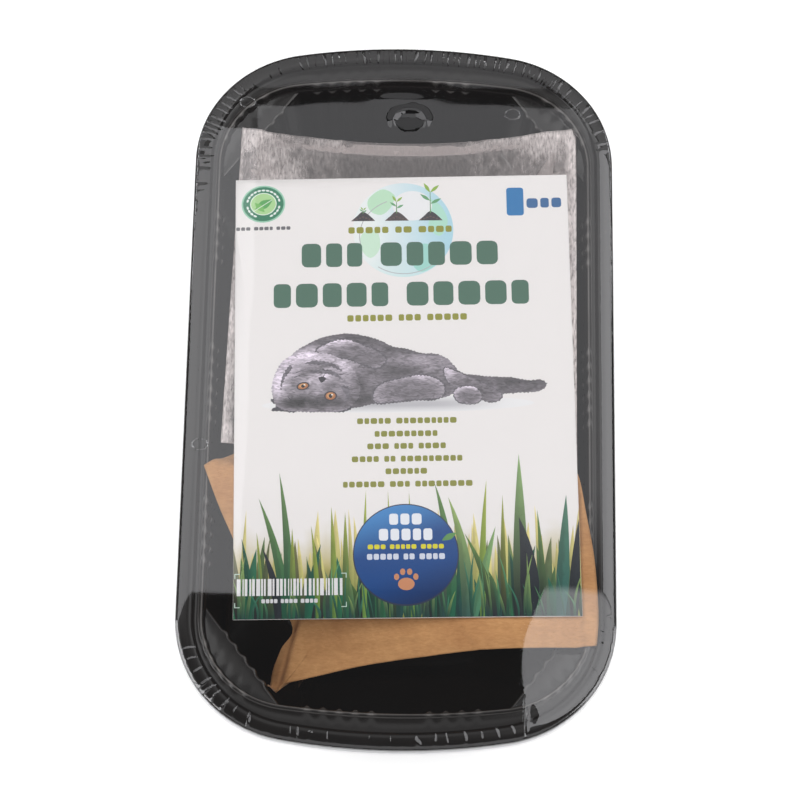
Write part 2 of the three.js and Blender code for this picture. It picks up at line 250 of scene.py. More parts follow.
tray_rings.append(tray_ring(mouth_shape(0.8 * mm), shelf_top + 0.03 * mm, 0.3))
for inset, rise, ribs in ((0.35, 0.25, 0.5), (0.2, 1.4, 0.45), (0.1, 2.2, 0.35), (0, 2.75, 0.2)):
    height = shelf_top + rise * mm
    tray_rings.append(tray_ring(mouth_shape(inset * mm), height, ribs, rib_painted_shine=0.06 * rise))
# The bead's rings carry the most painted highlight, a grey line along its top.
for outward, rise, dip, painted_shine, rib_painted_shine in (
        (0.12, 0.26, 0.3, 0.1, 0.3), (0.4, 0.48, 0.4, 0.7, 0.6), (0.7, 0.5, 0.4, 0.1, 0.3),
        (1, 0.3, 0.3, 0, 0), (1.25, 0, 0.1, 0.3, 0), (1.6, -0.04, 0, 0, 0)):
    bead_height = ledge_top + rise * mm
    tray_rings.append(tray_ring(mouth_shape(-outward * mm), bead_height, 0, dip * mm, painted_shine, rib_painted_shine))
for inset, drop in (
        (5.9, 1.7), (5.6, 1.55), (5.4, 1.2), (5.1, 0.5), (4.85, 0.18), (4.4, 0.06), (3.4, 0), (2.2, 0.03),
        (1.2, 0.14), (0.7, 0.28), (0.3, 0.5), (0.08, 0.85), (0, 1.4), (0, 3.4), (0.12, 4.5)):
    tray_rings.append(tray_ring(rim_shape(inset * mm), rim_top - drop * mm))
tray = grow("growing_tray", tray_rings, close_end=False, painted_shine=tray_painted_shine)
if tray.data.polygons[0].normal.z < 0:
    tray.data.flip_normals()
sheet = tray.modifiers.new("sheet", "SOLIDIFY")
sheet.thickness = sheet_thickness
sheet.offset = -1
bpy.ops.object.modifier_apply(modifier="sheet")

# No sheet here has an even sheen. This group makes a cloudy pattern and a roughness that follows it.
uneven_sheen = bpy.data.node_groups.new("uneven_sheen", "ShaderNodeTree")
uneven_sheen.interface.new_socket(name="Place", in_out="INPUT", socket_type="NodeSocketVector")
for setting in ("Scale", "Detail", "Low", "High", "Smoothest", "Dullest"):
    uneven_sheen.interface.new_socket(name=setting, in_out="INPUT", socket_type="NodeSocketFloat")
for result in ("Cloud", "Roughness"):
    uneven_sheen.interface.new_socket(name=result, in_out="OUTPUT", socket_type="NodeSocketFloat")
nodes, links = uneven_sheen.nodes, uneven_sheen.links
settings, results = nodes.new("NodeGroupInput"), nodes.new("NodeGroupOutput")
cloud = nodes.new("ShaderNodeTexNoise")
spread = nodes.new("ShaderNodeMapRange")
for setting, node, socket in (
        ("Place", cloud, "Vector"), ("Scale", cloud, "Scale"), ("Detail", cloud, "Detail"),
        ("Low", spread, "From Min"), ("High", spread, "From Max"),
        ("Smoothest", spread, "To Min"), ("Dullest", spread, "To Max")):
    links.new(settings.outputs[setting], node.inputs[socket])
links.new(cloud.outputs["Fac"], spread.inputs["Value"])
links.new(cloud.outputs["Fac"], results.inputs["Cloud"])
links.new(spread.outputs["Result"], results.inputs["Roughness"])


# Places the sheen in a material, wires up its roughness, and gives back the pattern for other uses.
def add_sheen(material, place, scale, detail, smoothest, dullest, low=0.0, high=1.0):
    nodes, links = material.node_tree.nodes, material.node_tree.links
    sheen = nodes.new("ShaderNodeGroup")
    sheen.node_tree = uneven_sheen
    for setting, value in (("Scale", scale), ("Detail", detail), ("Low", low), ("High", high),
                           ("Smoothest", smoothest), ("Dullest", dullest)):
        sheen.inputs[setting].default_value = value
    links.new(place.outputs["Object"], sheen.inputs["Place"])
    links.new(sheen.outputs["Roughness"], nodes["Principled BSDF"].inputs["Roughness"])
    return sheen.outputs["Cloud"]


black_plastic = bpy.data.materials.new("black_plastic")
black_plastic.use_nodes = True
nodes, links = black_plastic.node_tree.nodes, black_plastic.node_tree.links
plastic = nodes["Principled BSDF"]
plastic.inputs["IOR"].default_value = 1.45
place = nodes.new("ShaderNodeTexCoord")
plastic_cloud = add_sheen(black_plastic, place, scale=60, detail=6, smoothest=0.13, dullest=0.2)
tone = nodes.new("ShaderNodeValToRGB")
tone.color_ramp.elements[0].position, tone.color_ramp.elements[1].position = 0.35, 0.7
tone.color_ramp.elements[0].color = (0.0062, 0.0048, 0.0044, 1)
tone.color_ramp.elements[1].color = (0.0095, 0.0078, 0.0074, 1)
links.new(plastic_cloud, tone.inputs["Fac"])
# Painted highlight: the grey, broken up by the cloud, lightens the bead, the shelf edge and the rib ends.
painted_shine_amount = nodes.new("ShaderNodeAttribute")
painted_shine_amount.attribute_name = "painted_shine"
painted_shine_patch = nodes.new("ShaderNodeMath")
painted_shine_patch.operation = "MULTIPLY"
links.new(painted_shine_amount.outputs["Fac"], painted_shine_patch.inputs[0])
links.new(plastic_cloud, painted_shine_patch.inputs[1])
painted_shine_mix = nodes.new("ShaderNodeMix")
painted_shine_mix.data_type = "RGBA"
painted_shine_mix.inputs[7].default_value = (0.3, 0.28, 0.27, 1)
links.new(painted_shine_patch.outputs["Value"], painted_shine_mix.inputs["Factor"])
links.new(tone.outputs["Color"], painted_shine_mix.inputs[6])
links.new(painted_shine_mix.outputs[2], plastic.inputs["Base Color"])
peel = nodes.new("ShaderNodeTexNoise")
peel.inputs["Scale"].default_value = 260
links.new(place.outputs["Object"], peel.inputs["Vector"])
relief = nodes.new("ShaderNodeBump")
relief.inputs["Strength"].default_value = 0.04
relief.inputs["Distance"].default_value = 0.1 * mm
links.new(peel.outputs["Fac"], relief.inputs["Height"])
links.new(relief.outputs["Normal"], plastic.inputs["Normal"])
tray.data.materials.append(black_plastic)
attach(tray, "root")
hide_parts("tray")

# Growing medium
# Loose coir and peat, lightly moist, packed by hand into the paper bag. It has no set shape: it is a lumpy
# mass of crumbs and short fibres that takes the shape of the bag.
card_thickness = 0.35 * mm
card_low, card_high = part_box("printed_card")
card_middle = (card_low + card_high) / 2
card_half_width, card_half_length = 52.5 * mm, 74 * mm
card_turn = math.radians(1.7)


def on_card(x, y):
    across, along = x - card_middle.x, y - card_middle.y
    return (across * math.cos(card_turn) + along * math.sin(card_turn),
            along * math.cos(card_turn) - across * math.sin(card_turn))


# The card's far left corner is bent down into the tray, its near right one a little, and the rest is flat.
def card_dip(x, y):
    across, along = on_card(x, y)
    across = min(max(across / card_half_width, -1), 1)
    along = min(max(along / card_half_length, -1), 1)
    far_left, near_right = max(0, along - across - 1.3), max(0, across - along - 1.45)
    return 3 * mm * far_left ** 2 + 1.2 * mm * near_right ** 2


# The bags are pressed against the card's underside.
def pressed_top(x, y):
    return card_low.z - 0.25 * mm - card_dip(x, y)


# A closed bag: rings run from the middle of its top out to its edge, and back under it to the middle.
def bag_rings(outline, middle, top_shares, under_shares, top_at, under_at):
    rings = []
    for share, height_at in [(s, top_at) for s in top_shares] + [(s, under_at) for s in under_shares]:
        ring = []
        for x, y in outline:
            px, py = middle[0] + (x - middle[0]) * share, middle[1] + (y - middle[1]) * share
            ring.append(height_at(px, py, share))
        rings.append(ring)
    return rings


def smooth(low, high, value):
    share = min(max((value - low) / (high - low), 0), 1)
    return share * share * (3 - 2 * share)


# A smooth closed line through given corners, which stay sharp where they are marked.
def drawn_line(corners, step):
    line = []
    count = len(corners)
    for i in range(count):
        before, start, end, after = (Vector(corners[(i + k) % count][:2]) for k in (-1, 0, 1, 2))
        start_pull = Vector((0, 0)) if len(corners[i]) > 2 else (end - before) / 2
        end_pull = Vector((0, 0)) if len(corners[(i + 1) % count]) > 2 else (after - start) / 2
        pieces = max(1, round((end - start).length / step))
        for k in range(pieces):
            t = k / pieces
            line.append(start * (2 * t ** 3 - 3 * t ** 2 + 1) + start_pull * (t ** 3 - 2 * t ** 2 + t)
                        + end * (3 * t ** 2 - 2 * t ** 3) + end_pull * (t ** 3 - t ** 2))
    return line


kraft_corners = (
    (60.6, -67), (59.6, -55), (57.4, -42), (55, -29), (51, -21.5, "sharp"), (26, -20.5), (0, -20),
    (-26, -20.5), (-48, -22), (-59.6, -28, "sharp"), (-55.8, -38), (-51.2, -48.5), (-45, -61), (-31.6, -76),
    (-34.8, -82.5), (-37.4, -89), (-38, -97.5, "sharp"), (-34.6, -92.4, "sharp"), (-12, -88.6), (12, -86.6),
    (36, -85), (57, -84.4), (60.3, -84, "sharp"), (60.9, -76),
)
kraft_outline = drawn_line([(x * mm, y * mm, *marks) for x, y, *marks in kraft_corners], 1.1 * mm)
kraft_middle = (3 * mm, -50 * mm)
kraft_floor = floor_top + panel_rise * mm + 0.4 * mm


# How near a point is to a crease between two places: 1 on the crease, and 0 past its width.
def crease(x, y, start, end, width):
    start, end, point = Vector(start) * mm, Vector(end) * mm, Vector((x, y))
    run = end - start
    share = min(max((point - start).dot(run) / run.length_squared, 0), 1)
    gap = (point - start - run * share).length
    return max(0, 1 - gap / (width * mm)) ** 1.5


# Each crease in the paper, in millimetres: how far it rises, where it starts and ends, and its width.
gusset_start, gusset_end = (-29.4, -75), (-34.6, -92.4)
side_crease_start, side_crease_end = (54.4, -50), (56.6, -84)
kraft_creases = (
    (-1.5, gusset_start, gusset_end, 1.3), (0.5, (-52, -27), (-49, -47), 1.6),
    (0.7, (-30, -83), (8, -80.5), 2.4), (0.4, (10, -76), (56, -79.5), 2),
    (-0.6, side_crease_start, side_crease_end, 1.4), (0.4, (-12, -79), (-20, -88), 1.6),
    (0.45, (20, -78), (26, -86), 1.8),
)


# How far a point lies beyond the gusset's fold, in millimetres.
def beyond_gusset(x, y):
    return gusset_end[0] + 0.3 * (y / mm - gusset_end[1]) - x / mm


# The bag's body is full and its near end droops. The gusset at its near left corner is folded behind.
def kraft_top(x, y, share):
    droop = 1 - 0.44 * smooth(64, 92, -y / mm) * smooth(-34, 42, -x / mm)
    crumple = noise.fractal(Vector((x * 45, y * 45, 3)), 1, 2.2, 4) * 0.55
    soft = smooth(60, 70, -y / mm) + smooth(44, 54, abs(x) / mm)
    folds = sum(rise * crease(x, y, start, end, width) for rise, start, end, width in kraft_creases)
    gusset = -1.8 * mm * smooth(0, 6, beyond_gusset(x, y)) * smooth(70, 77, -y / mm)
    mouth = -2.6 * mm * smooth(-29, -23, y / mm)
    edge = -0.5 * mm * smooth(0.9, 1, share)
    wrinkles = (folds + crumple * min(soft, 1) - 0.5 * min(soft, 1)) * mm
    height = pressed_top(x, y) + mouth + edge + gusset + wrinkles
    on_ledge = smooth(54, 57, abs(x) / mm)
    height = min(height, pressed_top(x, y)) * droop
    past_chord = abs(x) * math.cos(chord_angle) + abs(y) * math.sin(chord_angle) - chord_distance
    over_shelf = smooth(-4.5, -1, past_chord / mm) * smooth(-20, -30, x / mm)
    height += max(0, shelf_top + 0.7 * mm - height) * over_shelf
    return Vector((x, y, height + max(0, ledge_top + 0.9 * mm - height) * on_ledge))


def kraft_under(x, y, share):
    top = kraft_top(x, y, share).z - 0.35 * mm
    depth = smooth(0.97, 0.62, share)
    crumple = noise.fractal(Vector((x * 60, y * 60, 9)), 1, 2.2, 4) * 0.9 * mm
    crumple *= depth * smooth(0.4, 0.75, share)
    return Vector((x, y, min(top, kraft_floor + (top - kraft_floor) * (1 - depth) + abs(crumple))))


# Rings lie closer together towards the bag's edge, where it bends most.
top_shares = [0.04, 0.2, 0.4, 0.55, 0.64, 0.71, 0.76, 0.8, 0.83, 0.855,
              0.88, 0.9, 0.92, 0.94, 0.955, 0.97, 0.985, 1]
under_shares = [0.999, 0.985, 0.97, 0.95, 0.93, 0.91, 0.89, 0.87, 0.85,
                0.82, 0.79, 0.76, 0.73, 0.7, 0.66, 0.6, 0.4, 0.1]


# The medium fills the bag with a small gap all round.
def medium_top(x, y, share):
    lump = noise.fractal(Vector((x * 160, y * 160, 2)), 1, 2, 5) * 0.8 * mm
    rounded = 16 * mm * smooth(0.62, 0.8, share)
    return Vector((x, y, kraft_top(x, y, share).z - 2.4 * mm - rounded + lump))


def medium_under(x, y, share):
    lump = noise.fractal(Vector((x * 160, y * 160, 6)), 1, 2, 5) * 0.8 * mm
    top = medium_top(x, y, share).z - 0.5 * mm
    return Vector((x, y, min(top, kraft_under(x, y, min(share + 0.06, 1)).z + 2 * mm + abs(lump))))


medium_reach = 0.8
medium = grow("coir_medium", bag_rings(
    kraft_outline, kraft_middle, [share * medium_reach for share in top_shares],
    [share * medium_reach for share in under_shares], medium_top, medium_under))
coir = bpy.data.materials.new("moist_coir")
coir.use_nodes = True
nodes, links = coir.node_tree.nodes, coir.node_tree.links
crumb = nodes["Principled BSDF"]
crumb.inputs["Roughness"].default_value = 0.95
place = nodes.new("ShaderNodeTexCoord")
crumbs = nodes.new("ShaderNodeTexVoronoi")
crumbs.inputs["Scale"].default_value = 650
links.new(place.outputs["Object"], crumbs.inputs["Vector"])
browns = nodes.new("ShaderNodeValToRGB")
browns.color_ramp.elements[0].color = (0.03, 0.016, 0.009, 1)
browns.color_ramp.elements[1].color = (0.16, 0.085, 0.045, 1)
links.new(crumbs.outputs["Color"], browns.inputs["Fac"])
links.new(browns.outputs["Color"], crumb.inputs["Base Color"])
relief = nodes.new("ShaderNodeBump")
relief.inputs["Distance"].default_value = 0.8 * mm
links.new(crumbs.outputs["Distance"], relief.inputs["Height"])
links.new(relief.outputs["Normal"], crumb.inputs["Normal"])
medium.data.materials.append(coir)
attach(medium, "root")
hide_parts("growing_medium")

# Paper bag
# A brown kraft paper bag, folded and glued at its seams. It is full of growing medium, lies along the near
# half of the tray with its edges on the ledges, and its near left gusset sticks out as a pointed ear.
kraft_bag = grow("paper_bag", bag_rings(
    kraft_outline, kraft_middle, top_shares, under_shares, kraft_top, kraft_under))
# Painted shade: the paper's colour is darkened along its folds, and in the gusset panel beyond the fold.
shaded = kraft_bag.data.attributes.new("shaded", "FLOAT", "POINT")
for vertex, value in zip(kraft_bag.data.vertices, shaded.data):
    x, y = vertex.co.x, vertex.co.y
    beyond_fold = smooth(-0.4, 0.6, beyond_gusset(x, y)) * smooth(-74, -78, y / mm)
    fold_line = crease(x, y, gusset_start, gusset_end, 1.1)
    side_line = 0.3 * crease(x, y, side_crease_start, side_crease_end, 1.2)
    value.value = min(1, 0.5 * beyond_fold + fold_line + side_line)
kraft_paper = bpy.data.materials.new("kraft_paper")
kraft_paper.use_nodes = True
nodes, links = kraft_paper.node_tree.nodes, kraft_paper.node_tree.links
paper = nodes["Principled BSDF"]
place = nodes.new("ShaderNodeTexCoord")
pulp = nodes.new("ShaderNodeTexNoise")
pulp.inputs["Scale"].default_value = 90
pulp.inputs["Detail"].default_value = 8
pulp.inputs["Roughness"].default_value = 0.65
links.new(place.outputs["Object"], pulp.inputs["Vector"])
browns = nodes.new("ShaderNodeValToRGB")
browns.color_ramp.elements[0].position, browns.color_ramp.elements[1].position = 0.3, 0.72
browns.color_ramp.elements[0].color = (0.49, 0.235, 0.084, 1)
browns.color_ramp.elements[1].color = (0.67, 0.36, 0.145, 1)
links.new(pulp.outputs["Fac"], browns.inputs["Fac"])
# Fibres lie mostly along the web of the paper, some darker and some paler than the rest.
fibre_lie = nodes.new("ShaderNodeMapping")
fibre_lie.inputs["Scale"].default_value = (520, 1500, 900)
fibre_lie.inputs["Rotation"].default_value = (0, 0, 0.12)
links.new(place.outputs["Object"], fibre_lie.inputs["Vector"])
fibres = nodes.new("ShaderNodeTexNoise")
fibres.inputs["Scale"].default_value = 1
fibres.inputs["Detail"].default_value = 3
fibres.inputs["Distortion"].default_value = 0.6
links.new(fibre_lie.outputs["Vector"], fibres.inputs["Vector"])
strands = nodes.new("ShaderNodeValToRGB")
strands.color_ramp.elements[0].position, strands.color_ramp.elements[1].position = 0.36, 0.66
strands.color_ramp.elements[0].color = (0.78, 0.7, 0.6, 1)
strands.color_ramp.elements[1].color = (1, 1, 1, 1)
links.new(fibres.outputs["Fac"], strands.inputs["Fac"])
fibred = nodes.new("ShaderNodeMix")
fibred.data_type = "RGBA"
fibred.blend_type = "MULTIPLY"
fibred.inputs["Factor"].default_value = 0.55
links.new(browns.outputs["Color"], fibred.inputs[6])
links.new(strands.outputs["Color"], fibred.inputs[7])
# The painted shade in the folds and the gusset panel darkens the paper's colour.
painted_fold_shade = nodes.new("ShaderNodeAttribute")
painted_fold_shade.attribute_name = "shaded"
darkened = nodes.new("ShaderNodeMix")
darkened.data_type = "RGBA"
darkened.blend_type = "MULTIPLY"
darkened.inputs[7].default_value = (0.42, 0.36, 0.3, 1)
links.new(painted_fold_shade.outputs["Fac"], darkened.inputs["Factor"])
links.new(fibred.outputs[2], darkened.inputs[6])
links.new(darkened.outputs[2], paper.inputs["Base Color"])
paper.inputs["Roughness"].default_value = 0.78
paper.inputs["Sheen Weight"].default_value = 0.15
relief = nodes.new("ShaderNodeBump")
relief.inputs["Strength"].default_value = 0.5
relief.inputs["Distance"].default_value = 0.12 * mm
links.new(fibres.outputs["Fac"], relief.inputs["Height"])
links.new(relief.outputs["Normal"], paper.inputs["Normal"])
kraft_bag.data.materials.append(kraft_paper)
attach(kraft_bag, "root")
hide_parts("kraft_bag")

# Wheat seeds
# Loose dry wheat grain. Each grain is a plump oval about 6 mm long with a crease down one side, and they
# settle into a heap that takes the shape of the sachet.
seed_low, seed_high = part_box("wheat_seeds")
heap_middle = ((seed_low.x + seed_high.x) / 2, (seed_low.y + seed_high.y) / 2 - 4 * mm)
heap_half_width = (seed_high.x - seed_low.x) / 2 - 3 * mm
heap_half_length = (seed_high.y - seed_low.y) / 2 - 8 * mm


# 0 in the middle of the heap and 1 on its edge, which is a rounded oblong.
def heap_share(x, y):
    across, along = abs(x - heap_middle[0]) / heap_half_width, abs(y - heap_middle[1]) / heap_half_length
    return (across ** 3 + along ** 3) ** (1 / 3)


def heap_height(x, y):
    return pressed_top(x, y) - 3.6 * mm - 9 * mm * smooth(0.75, 1, heap_share(x, y))


heap_outline = [(heap_middle[0] + heap_half_width * math.copysign(abs(math.cos(a)) ** 0.67, math.cos(a)),
                 heap_middle[1] + heap_half_length * math.copysign(abs(math.sin(a)) ** 0.67, math.sin(a)))
                for a in (math.tau * i / 96 for i in range(96))]
heap_shares = [0.05, 0.3, 0.6, 0.8, 0.9, 0.97]
seeds = grow("wheat_grains", bag_rings(
    heap_outline, heap_middle, heap_shares, heap_shares[::-1],
    lambda x, y, share: Vector((x, y, heap_height(x, y) - 1 * mm)),
    lambda x, y, share: Vector((x, y, seed_low.z + 7 * mm * smooth(0.6, 1, share)))))
bpy.ops.object.select_all(action="DESELECT")
bpy.ops.mesh.primitive_uv_sphere_add(segments=8, ring_count=6, radius=1 * mm)
grain = bpy.context.object
grain.name = "grain"
for vertex in grain.data.vertices:
    plump = 1 - 0.12 * (vertex.co.z / mm)
    groove = 0.45 if vertex.co.y > 0.9 * mm * math.sqrt(max(0, 1 - (vertex.co.z / mm) ** 2)) else 1
    vertex.co = Vector((vertex.co.x * 1.6 * plump, vertex.co.y * 1.45 * plump * groove, vertex.co.z * 3.1))
dice = random.Random(11)
grains = bmesh.new()
grains.from_mesh(seeds.data)
spacing = 2.9 * mm
columns, rows = int(2 * heap_half_width / spacing), int(2 * heap_half_length / spacing)
for column in range(columns):
    for row in range(rows):
        x = heap_middle[0] - heap_half_width + (column + dice.uniform(0.1, 0.9)) * spacing
        y = heap_middle[1] - heap_half_length + (row + dice.uniform(0.1, 0.9)) * spacing
        heading = Matrix.Rotation(dice.uniform(0, math.tau), 3, "Z")
        laid_down = heading @ Matrix.Rotation(dice.uniform(1.2, 1.9), 3, "X")
        roll = laid_down @ Matrix.Rotation(dice.uniform(0, math.tau), 3, "Z") * dice.uniform(0.88, 1.08)
        if heap_share(x, y) < 0.98:
            first = len(grains.verts)
            grains.from_mesh(grain.data)
            grains.verts.ensure_lookup_table()
            for vertex in grains.verts[first:]:
                height = heap_height(x, y) + dice.uniform(-0.1, 0.1) * mm
                vertex.co = Vector((x, y, height)) + roll @ vertex.co
grains.to_mesh(seeds.data)
grains.free()
bpy.data.objects.remove(grain)
bpy.context.view_layer.objects.active = seeds
seeds.select_set(True)
bpy.ops.object.shade_smooth()
wheat = bpy.data.materials.new("dry_wheat")
wheat.use_nodes = True
nodes, links = wheat.node_tree.nodes, wheat.node_tree.links
husk = nodes["Principled BSDF"]
husk.inputs["Roughness"].default_value = 0.5
place = nodes.new("ShaderNodeTexCoord")
patches = nodes.new("ShaderNodeTexVoronoi")
patches.inputs["Scale"].default_value = 330
links.new(place.outputs["Object"], patches.inputs["Vector"])
golds = nodes.new("ShaderNodeValToRGB")
golds.color_ramp.elements[0].color = (0.36, 0.17, 0.055, 1)
golds.color_ramp.elements[1].color = (0.66, 0.4, 0.17, 1)
links.new(patches.outputs["Color"], golds.inputs["Fac"])
links.new(golds.outputs["Color"], husk.inputs["Base Color"])
seeds.data.materials.append(wheat)
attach(seeds, "root")
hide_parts("wheat_seeds")

# Seed sachet
# A clear plastic pouch, welded flat along its edges and across its near end. The thin film is crinkled where
# it is empty, its far corners rest on the tray's corner shelves, and its far edge sags between them.
sachet_corners = [Vector(corner) * mm for corner in ((54.7, -27.4), (55.0, 91), (-52, 90), (-54.8, -20))]
sachet_middle = (0.9 * mm, 33 * mm)
far_edge_drawn_in = 3.2 * mm
sachet_outline = []
for here, there in zip(sachet_corners, sachet_corners[1:] + sachet_corners[:1]):
    pieces = round((there - here).length / (0.8 * mm))
    for k in range(pieces):
        x, y = here + (there - here) * (k / pieces)
        drawn_in = far_edge_drawn_in * max(0, 1 - (x / mm / 53) ** 2) if y > 80 * mm else 0
        sachet_outline.append((x, y - drawn_in))


# Sharp ridges with soft valleys between them, as in crumpled film.
def ridges(x, y, scale, seed):
    return 1 - 2 * abs(noise.noise(Vector((x * scale, y * scale, seed))))


# The sachet is smooth and full under the card. Its loose edges are crinkled, and its far part sags.
def sachet_top(x, y, share):
    far, side = smooth(66, 91, y / mm), smooth(44, 52, abs(x - sachet_middle[0]) / mm)
    near = smooth(-14, -26, y / mm)
    loose = max(smooth(70, 76, y / mm), side, near)
    outer_thirds = smooth(15, 24, abs(x / mm - 0.5))
    crinkle = (0.75 * ridges(x, y * 0.5, 70, 5) + 0.4 * ridges(x * 1.3, y, 190, 8)
               + 0.16 * ridges(x, y, 480, 2))
    crinkle *= (0.25 + 0.75 * outer_thirds) * loose
    folds = 0.5 * (crease(x, y, (-20, 60), (-20, 91), 1.2) + crease(x, y, (21, 60), (21, 91), 1.2))
    sag = far * (1.1 + 6.2 * max(0, 1 - (x / mm / 53) ** 2)) + side * (1.3 - near) * 0.9
    height = pressed_top(x, y) - (sag + 0.5 * loose) * mm + (crinkle * 0.6 + folds * far - 0.4 * loose) * mm
    past_chord = abs(x) * math.cos(chord_angle) + y * math.sin(chord_angle) - chord_distance
    on_shelf = smooth(-1.5, 0.5, past_chord / mm)
    return Vector((x, y, height + max(0, shelf_top + 0.5 * mm + 0.5 * crinkle * mm - height) * on_shelf))


def sachet_under(x, y, share):
    top = sachet_top(x, y, share).z - 0.12 * mm
    depth = smooth(0.9, 0.6, share)
    crinkle = ridges(x, y, 90, 12) * 0.8 * mm * depth * smooth(0.3, 0.7, share)
    return Vector((x, y, top - depth * (pressed_top(x, y) - seed_low.z + 1 * mm) + crinkle))


sachet_top_shares = [0.03, 0.3, 0.55, 0.62, 0.68] + [0.7 + 0.0125 * i for i in range(25)]
sachet_under_shares = [0.9995, 0.985, 0.97, 0.95, 0.93, 0.91, 0.89, 0.86, 0.83,
                       0.8, 0.76, 0.72, 0.68, 0.64, 0.6, 0.5, 0.3, 0.05]
sachet = grow("seed_sachet", bag_rings(
    sachet_outline, sachet_middle, sachet_top_shares, sachet_under_shares, sachet_top, sachet_under))
# Where the film is crinkled it looks whiter, most of all in the loose outer thirds and on the welded edges.
whiteness = sachet.data.attributes.new("whiteness", "FLOAT", "POINT")
for vertex, value in zip(sachet.data.vertices, whiteness.data):
    x, y = vertex.co.x, vertex.co.y
    outer_thirds = smooth(19, 22, abs(x / mm - 0.5))
    patch = smooth(-0.2, 0.45, noise.fractal(Vector((x * 55, y * 48, 21)), 1, 2.1, 4))
    streak = smooth(0.1, 0.7, ridges(x * 1.6, y * 0.5, 230, 4))
    edge_gap = min(abs(x / mm + 54), abs(x / mm - 54.8), abs(y / mm - 90.6))
    weld, fold = math.exp(-(edge_gap / 0.6) ** 2), 0.6 * math.exp(-((edge_gap - 1.9) / 0.4) ** 2)
    edge_band = max(weld, fold) * outer_thirds
    strip = smooth(51, 53, x / mm) * 0.9 + smooth(51, 53, -x / mm) * 0.5
    value.value = 0.22 + outer_thirds * (0.62 * patch + 0.22 * streak) + 0.35 * edge_band + strip
sachet_film = bpy.data.materials.new("sachet_film")
sachet_film.use_nodes = True
nodes, links = sachet_film.node_tree.nodes, sachet_film.node_tree.links
pouch = nodes["Principled BSDF"]
pouch.inputs["Base Color"].default_value = (0.84, 0.76, 0.75, 1)
pouch.inputs["Metallic"].default_value = 0.2
place = nodes.new("ShaderNodeTexCoord")
add_sheen(sachet_film, place, scale=120, detail=7, smoothest=0.12, dullest=0.34, low=0.35, high=0.7)
crinkled = nodes.new("ShaderNodeAttribute")
crinkled.attribute_name = "whiteness"
streak_lie = nodes.new("ShaderNodeMapping")
streak_lie.inputs["Scale"].default_value = (1500, 380, 1)
links.new(place.outputs["Object"], streak_lie.inputs["Vector"])
fine_streaks = nodes.new("ShaderNodeTexNoise")
fine_streaks.inputs["Scale"].default_value = 1
fine_streaks.inputs["Detail"].default_value = 5
links.new(streak_lie.outputs["Vector"], fine_streaks.inputs["Vector"])
streaked = nodes.new("ShaderNodeMapRange")
streaked.inputs["From Min"].default_value, streaked.inputs["From Max"].default_value = 0.3, 0.68
streaked.inputs["To Min"].default_value, streaked.inputs["To Max"].default_value = 0.2, 0.8
links.new(fine_streaks.outputs["Fac"], streaked.inputs["Value"])
cover = nodes.new("ShaderNodeMath")
cover.operation = "MULTIPLY"
links.new(streaked.outputs["Result"], cover.inputs[0])
links.new(crinkled.outputs["Fac"], cover.inputs[1])
fresnel = nodes.new("ShaderNodeFresnel")
fresnel.inputs["IOR"].default_value = 1.5
thickened = nodes.new("ShaderNodeMath")
thickened.operation = "ADD"
thickened.use_clamp = True
links.new(cover.outputs["Value"], thickened.inputs[0])
links.new(fresnel.outputs["Fac"], thickened.inputs[1])
links.new(thickened.outputs["Value"], pouch.inputs["Alpha"])
sachet.data.materials.append(sachet_film)
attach(sachet, "root")
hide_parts("seed_bag")

# Printed card
# A postcard-sized piece of coated white board, printed on its front only: a grey cat, a globe with three
# sprouts, a bank of grass and plain colour blocks where words would be. It lies on the bags, under the film.
#
# The picture is drawn in millimetres from the card's middle. Each shape has an outline and an ink, and later
# shapes are printed over earlier ones.
shapes = []


# An ink is named by its red, green and blue from 0 to 255. Fur is 1 where fine hairs are printed in it.
def ink(red, green, blue, fur=0):
    light = [c / 255 / 12.92 if c <= 10 else ((c / 255 + 0.055) / 1.055) ** 2.4 for c in (red, green, blue)]
    return *light, fur


def blend(first, second, share):
    share = min(max(share, 0), 1)
    return tuple(a + (b - a) * share for a, b in zip(first, second))


# A shape never runs over the card's cut edge.
def draw(outline, colour):
    inside = [(min(max(u, -52.45), 52.45), min(max(v, -73.95), 73.95)) for u, v in outline]
    shapes.append((inside, colour if callable(colour) else lambda u, v: colour))


def oval(centre_u, centre_v, radius_u, radius_v, points=40, turn=0):
    ring = []
    for i in range(points):
        a = math.tau * i / points
        u, v = radius_u * math.cos(a), radius_v * math.sin(a)
        ring.append((centre_u + u * math.cos(turn) - v * math.sin(turn),
                     centre_v + u * math.sin(turn) + v * math.cos(turn)))
    return ring


# A plain block with rounded corners.
def block(left, low, right, high, radius):
    ring = []
    for centre_u, centre_v, start in (
            (right - radius, low + radius, -0.5), (right - radius, high - radius, 0),
            (left + radius, high - radius, 0.5), (left + radius, low + radius, 1)):
        for i in range(4):
            a = math.pi * (start + i / 6)
            ring.append((centre_u + radius * math.cos(a), centre_v + radius * math.sin(a)))
    return ring


# A row of plain upright blocks, in groups, where a printed line would be.
def block_row(middle_u, middle_v, height, groups, pitch, colour, dice, slant=0):
    widths = [[pitch * dice.uniform(0.62, 0.9) for _ in range(count)] for count in groups]
    gap, space = pitch * 0.2, pitch * 0.75
    total = sum(sum(group) + gap * (len(group) - 1) for group in widths) + space * (len(widths) - 1)
    left = middle_u - total / 2
    for group in widths:
        for width in group:
            low = middle_v + slant * (left - middle_u)
            radius = min(width, height) * 0.28
            draw(block(left, low - height / 2, left + width, low + height / 2, radius), colour)
            left += width + gap
        left += space - gap


def soft_line(corners, step=0.9):
    return [tuple(point) for point in drawn_line(corners, step)]


# Globe, faint at its left, with pale land and two thin swashes.
def sea(u, v):
    pale = blend(ink(236, 240, 240), ink(176, 216, 230), (u + 10) / 24)
    return blend(pale, ink(206, 232, 230), (47 - v) / 14)


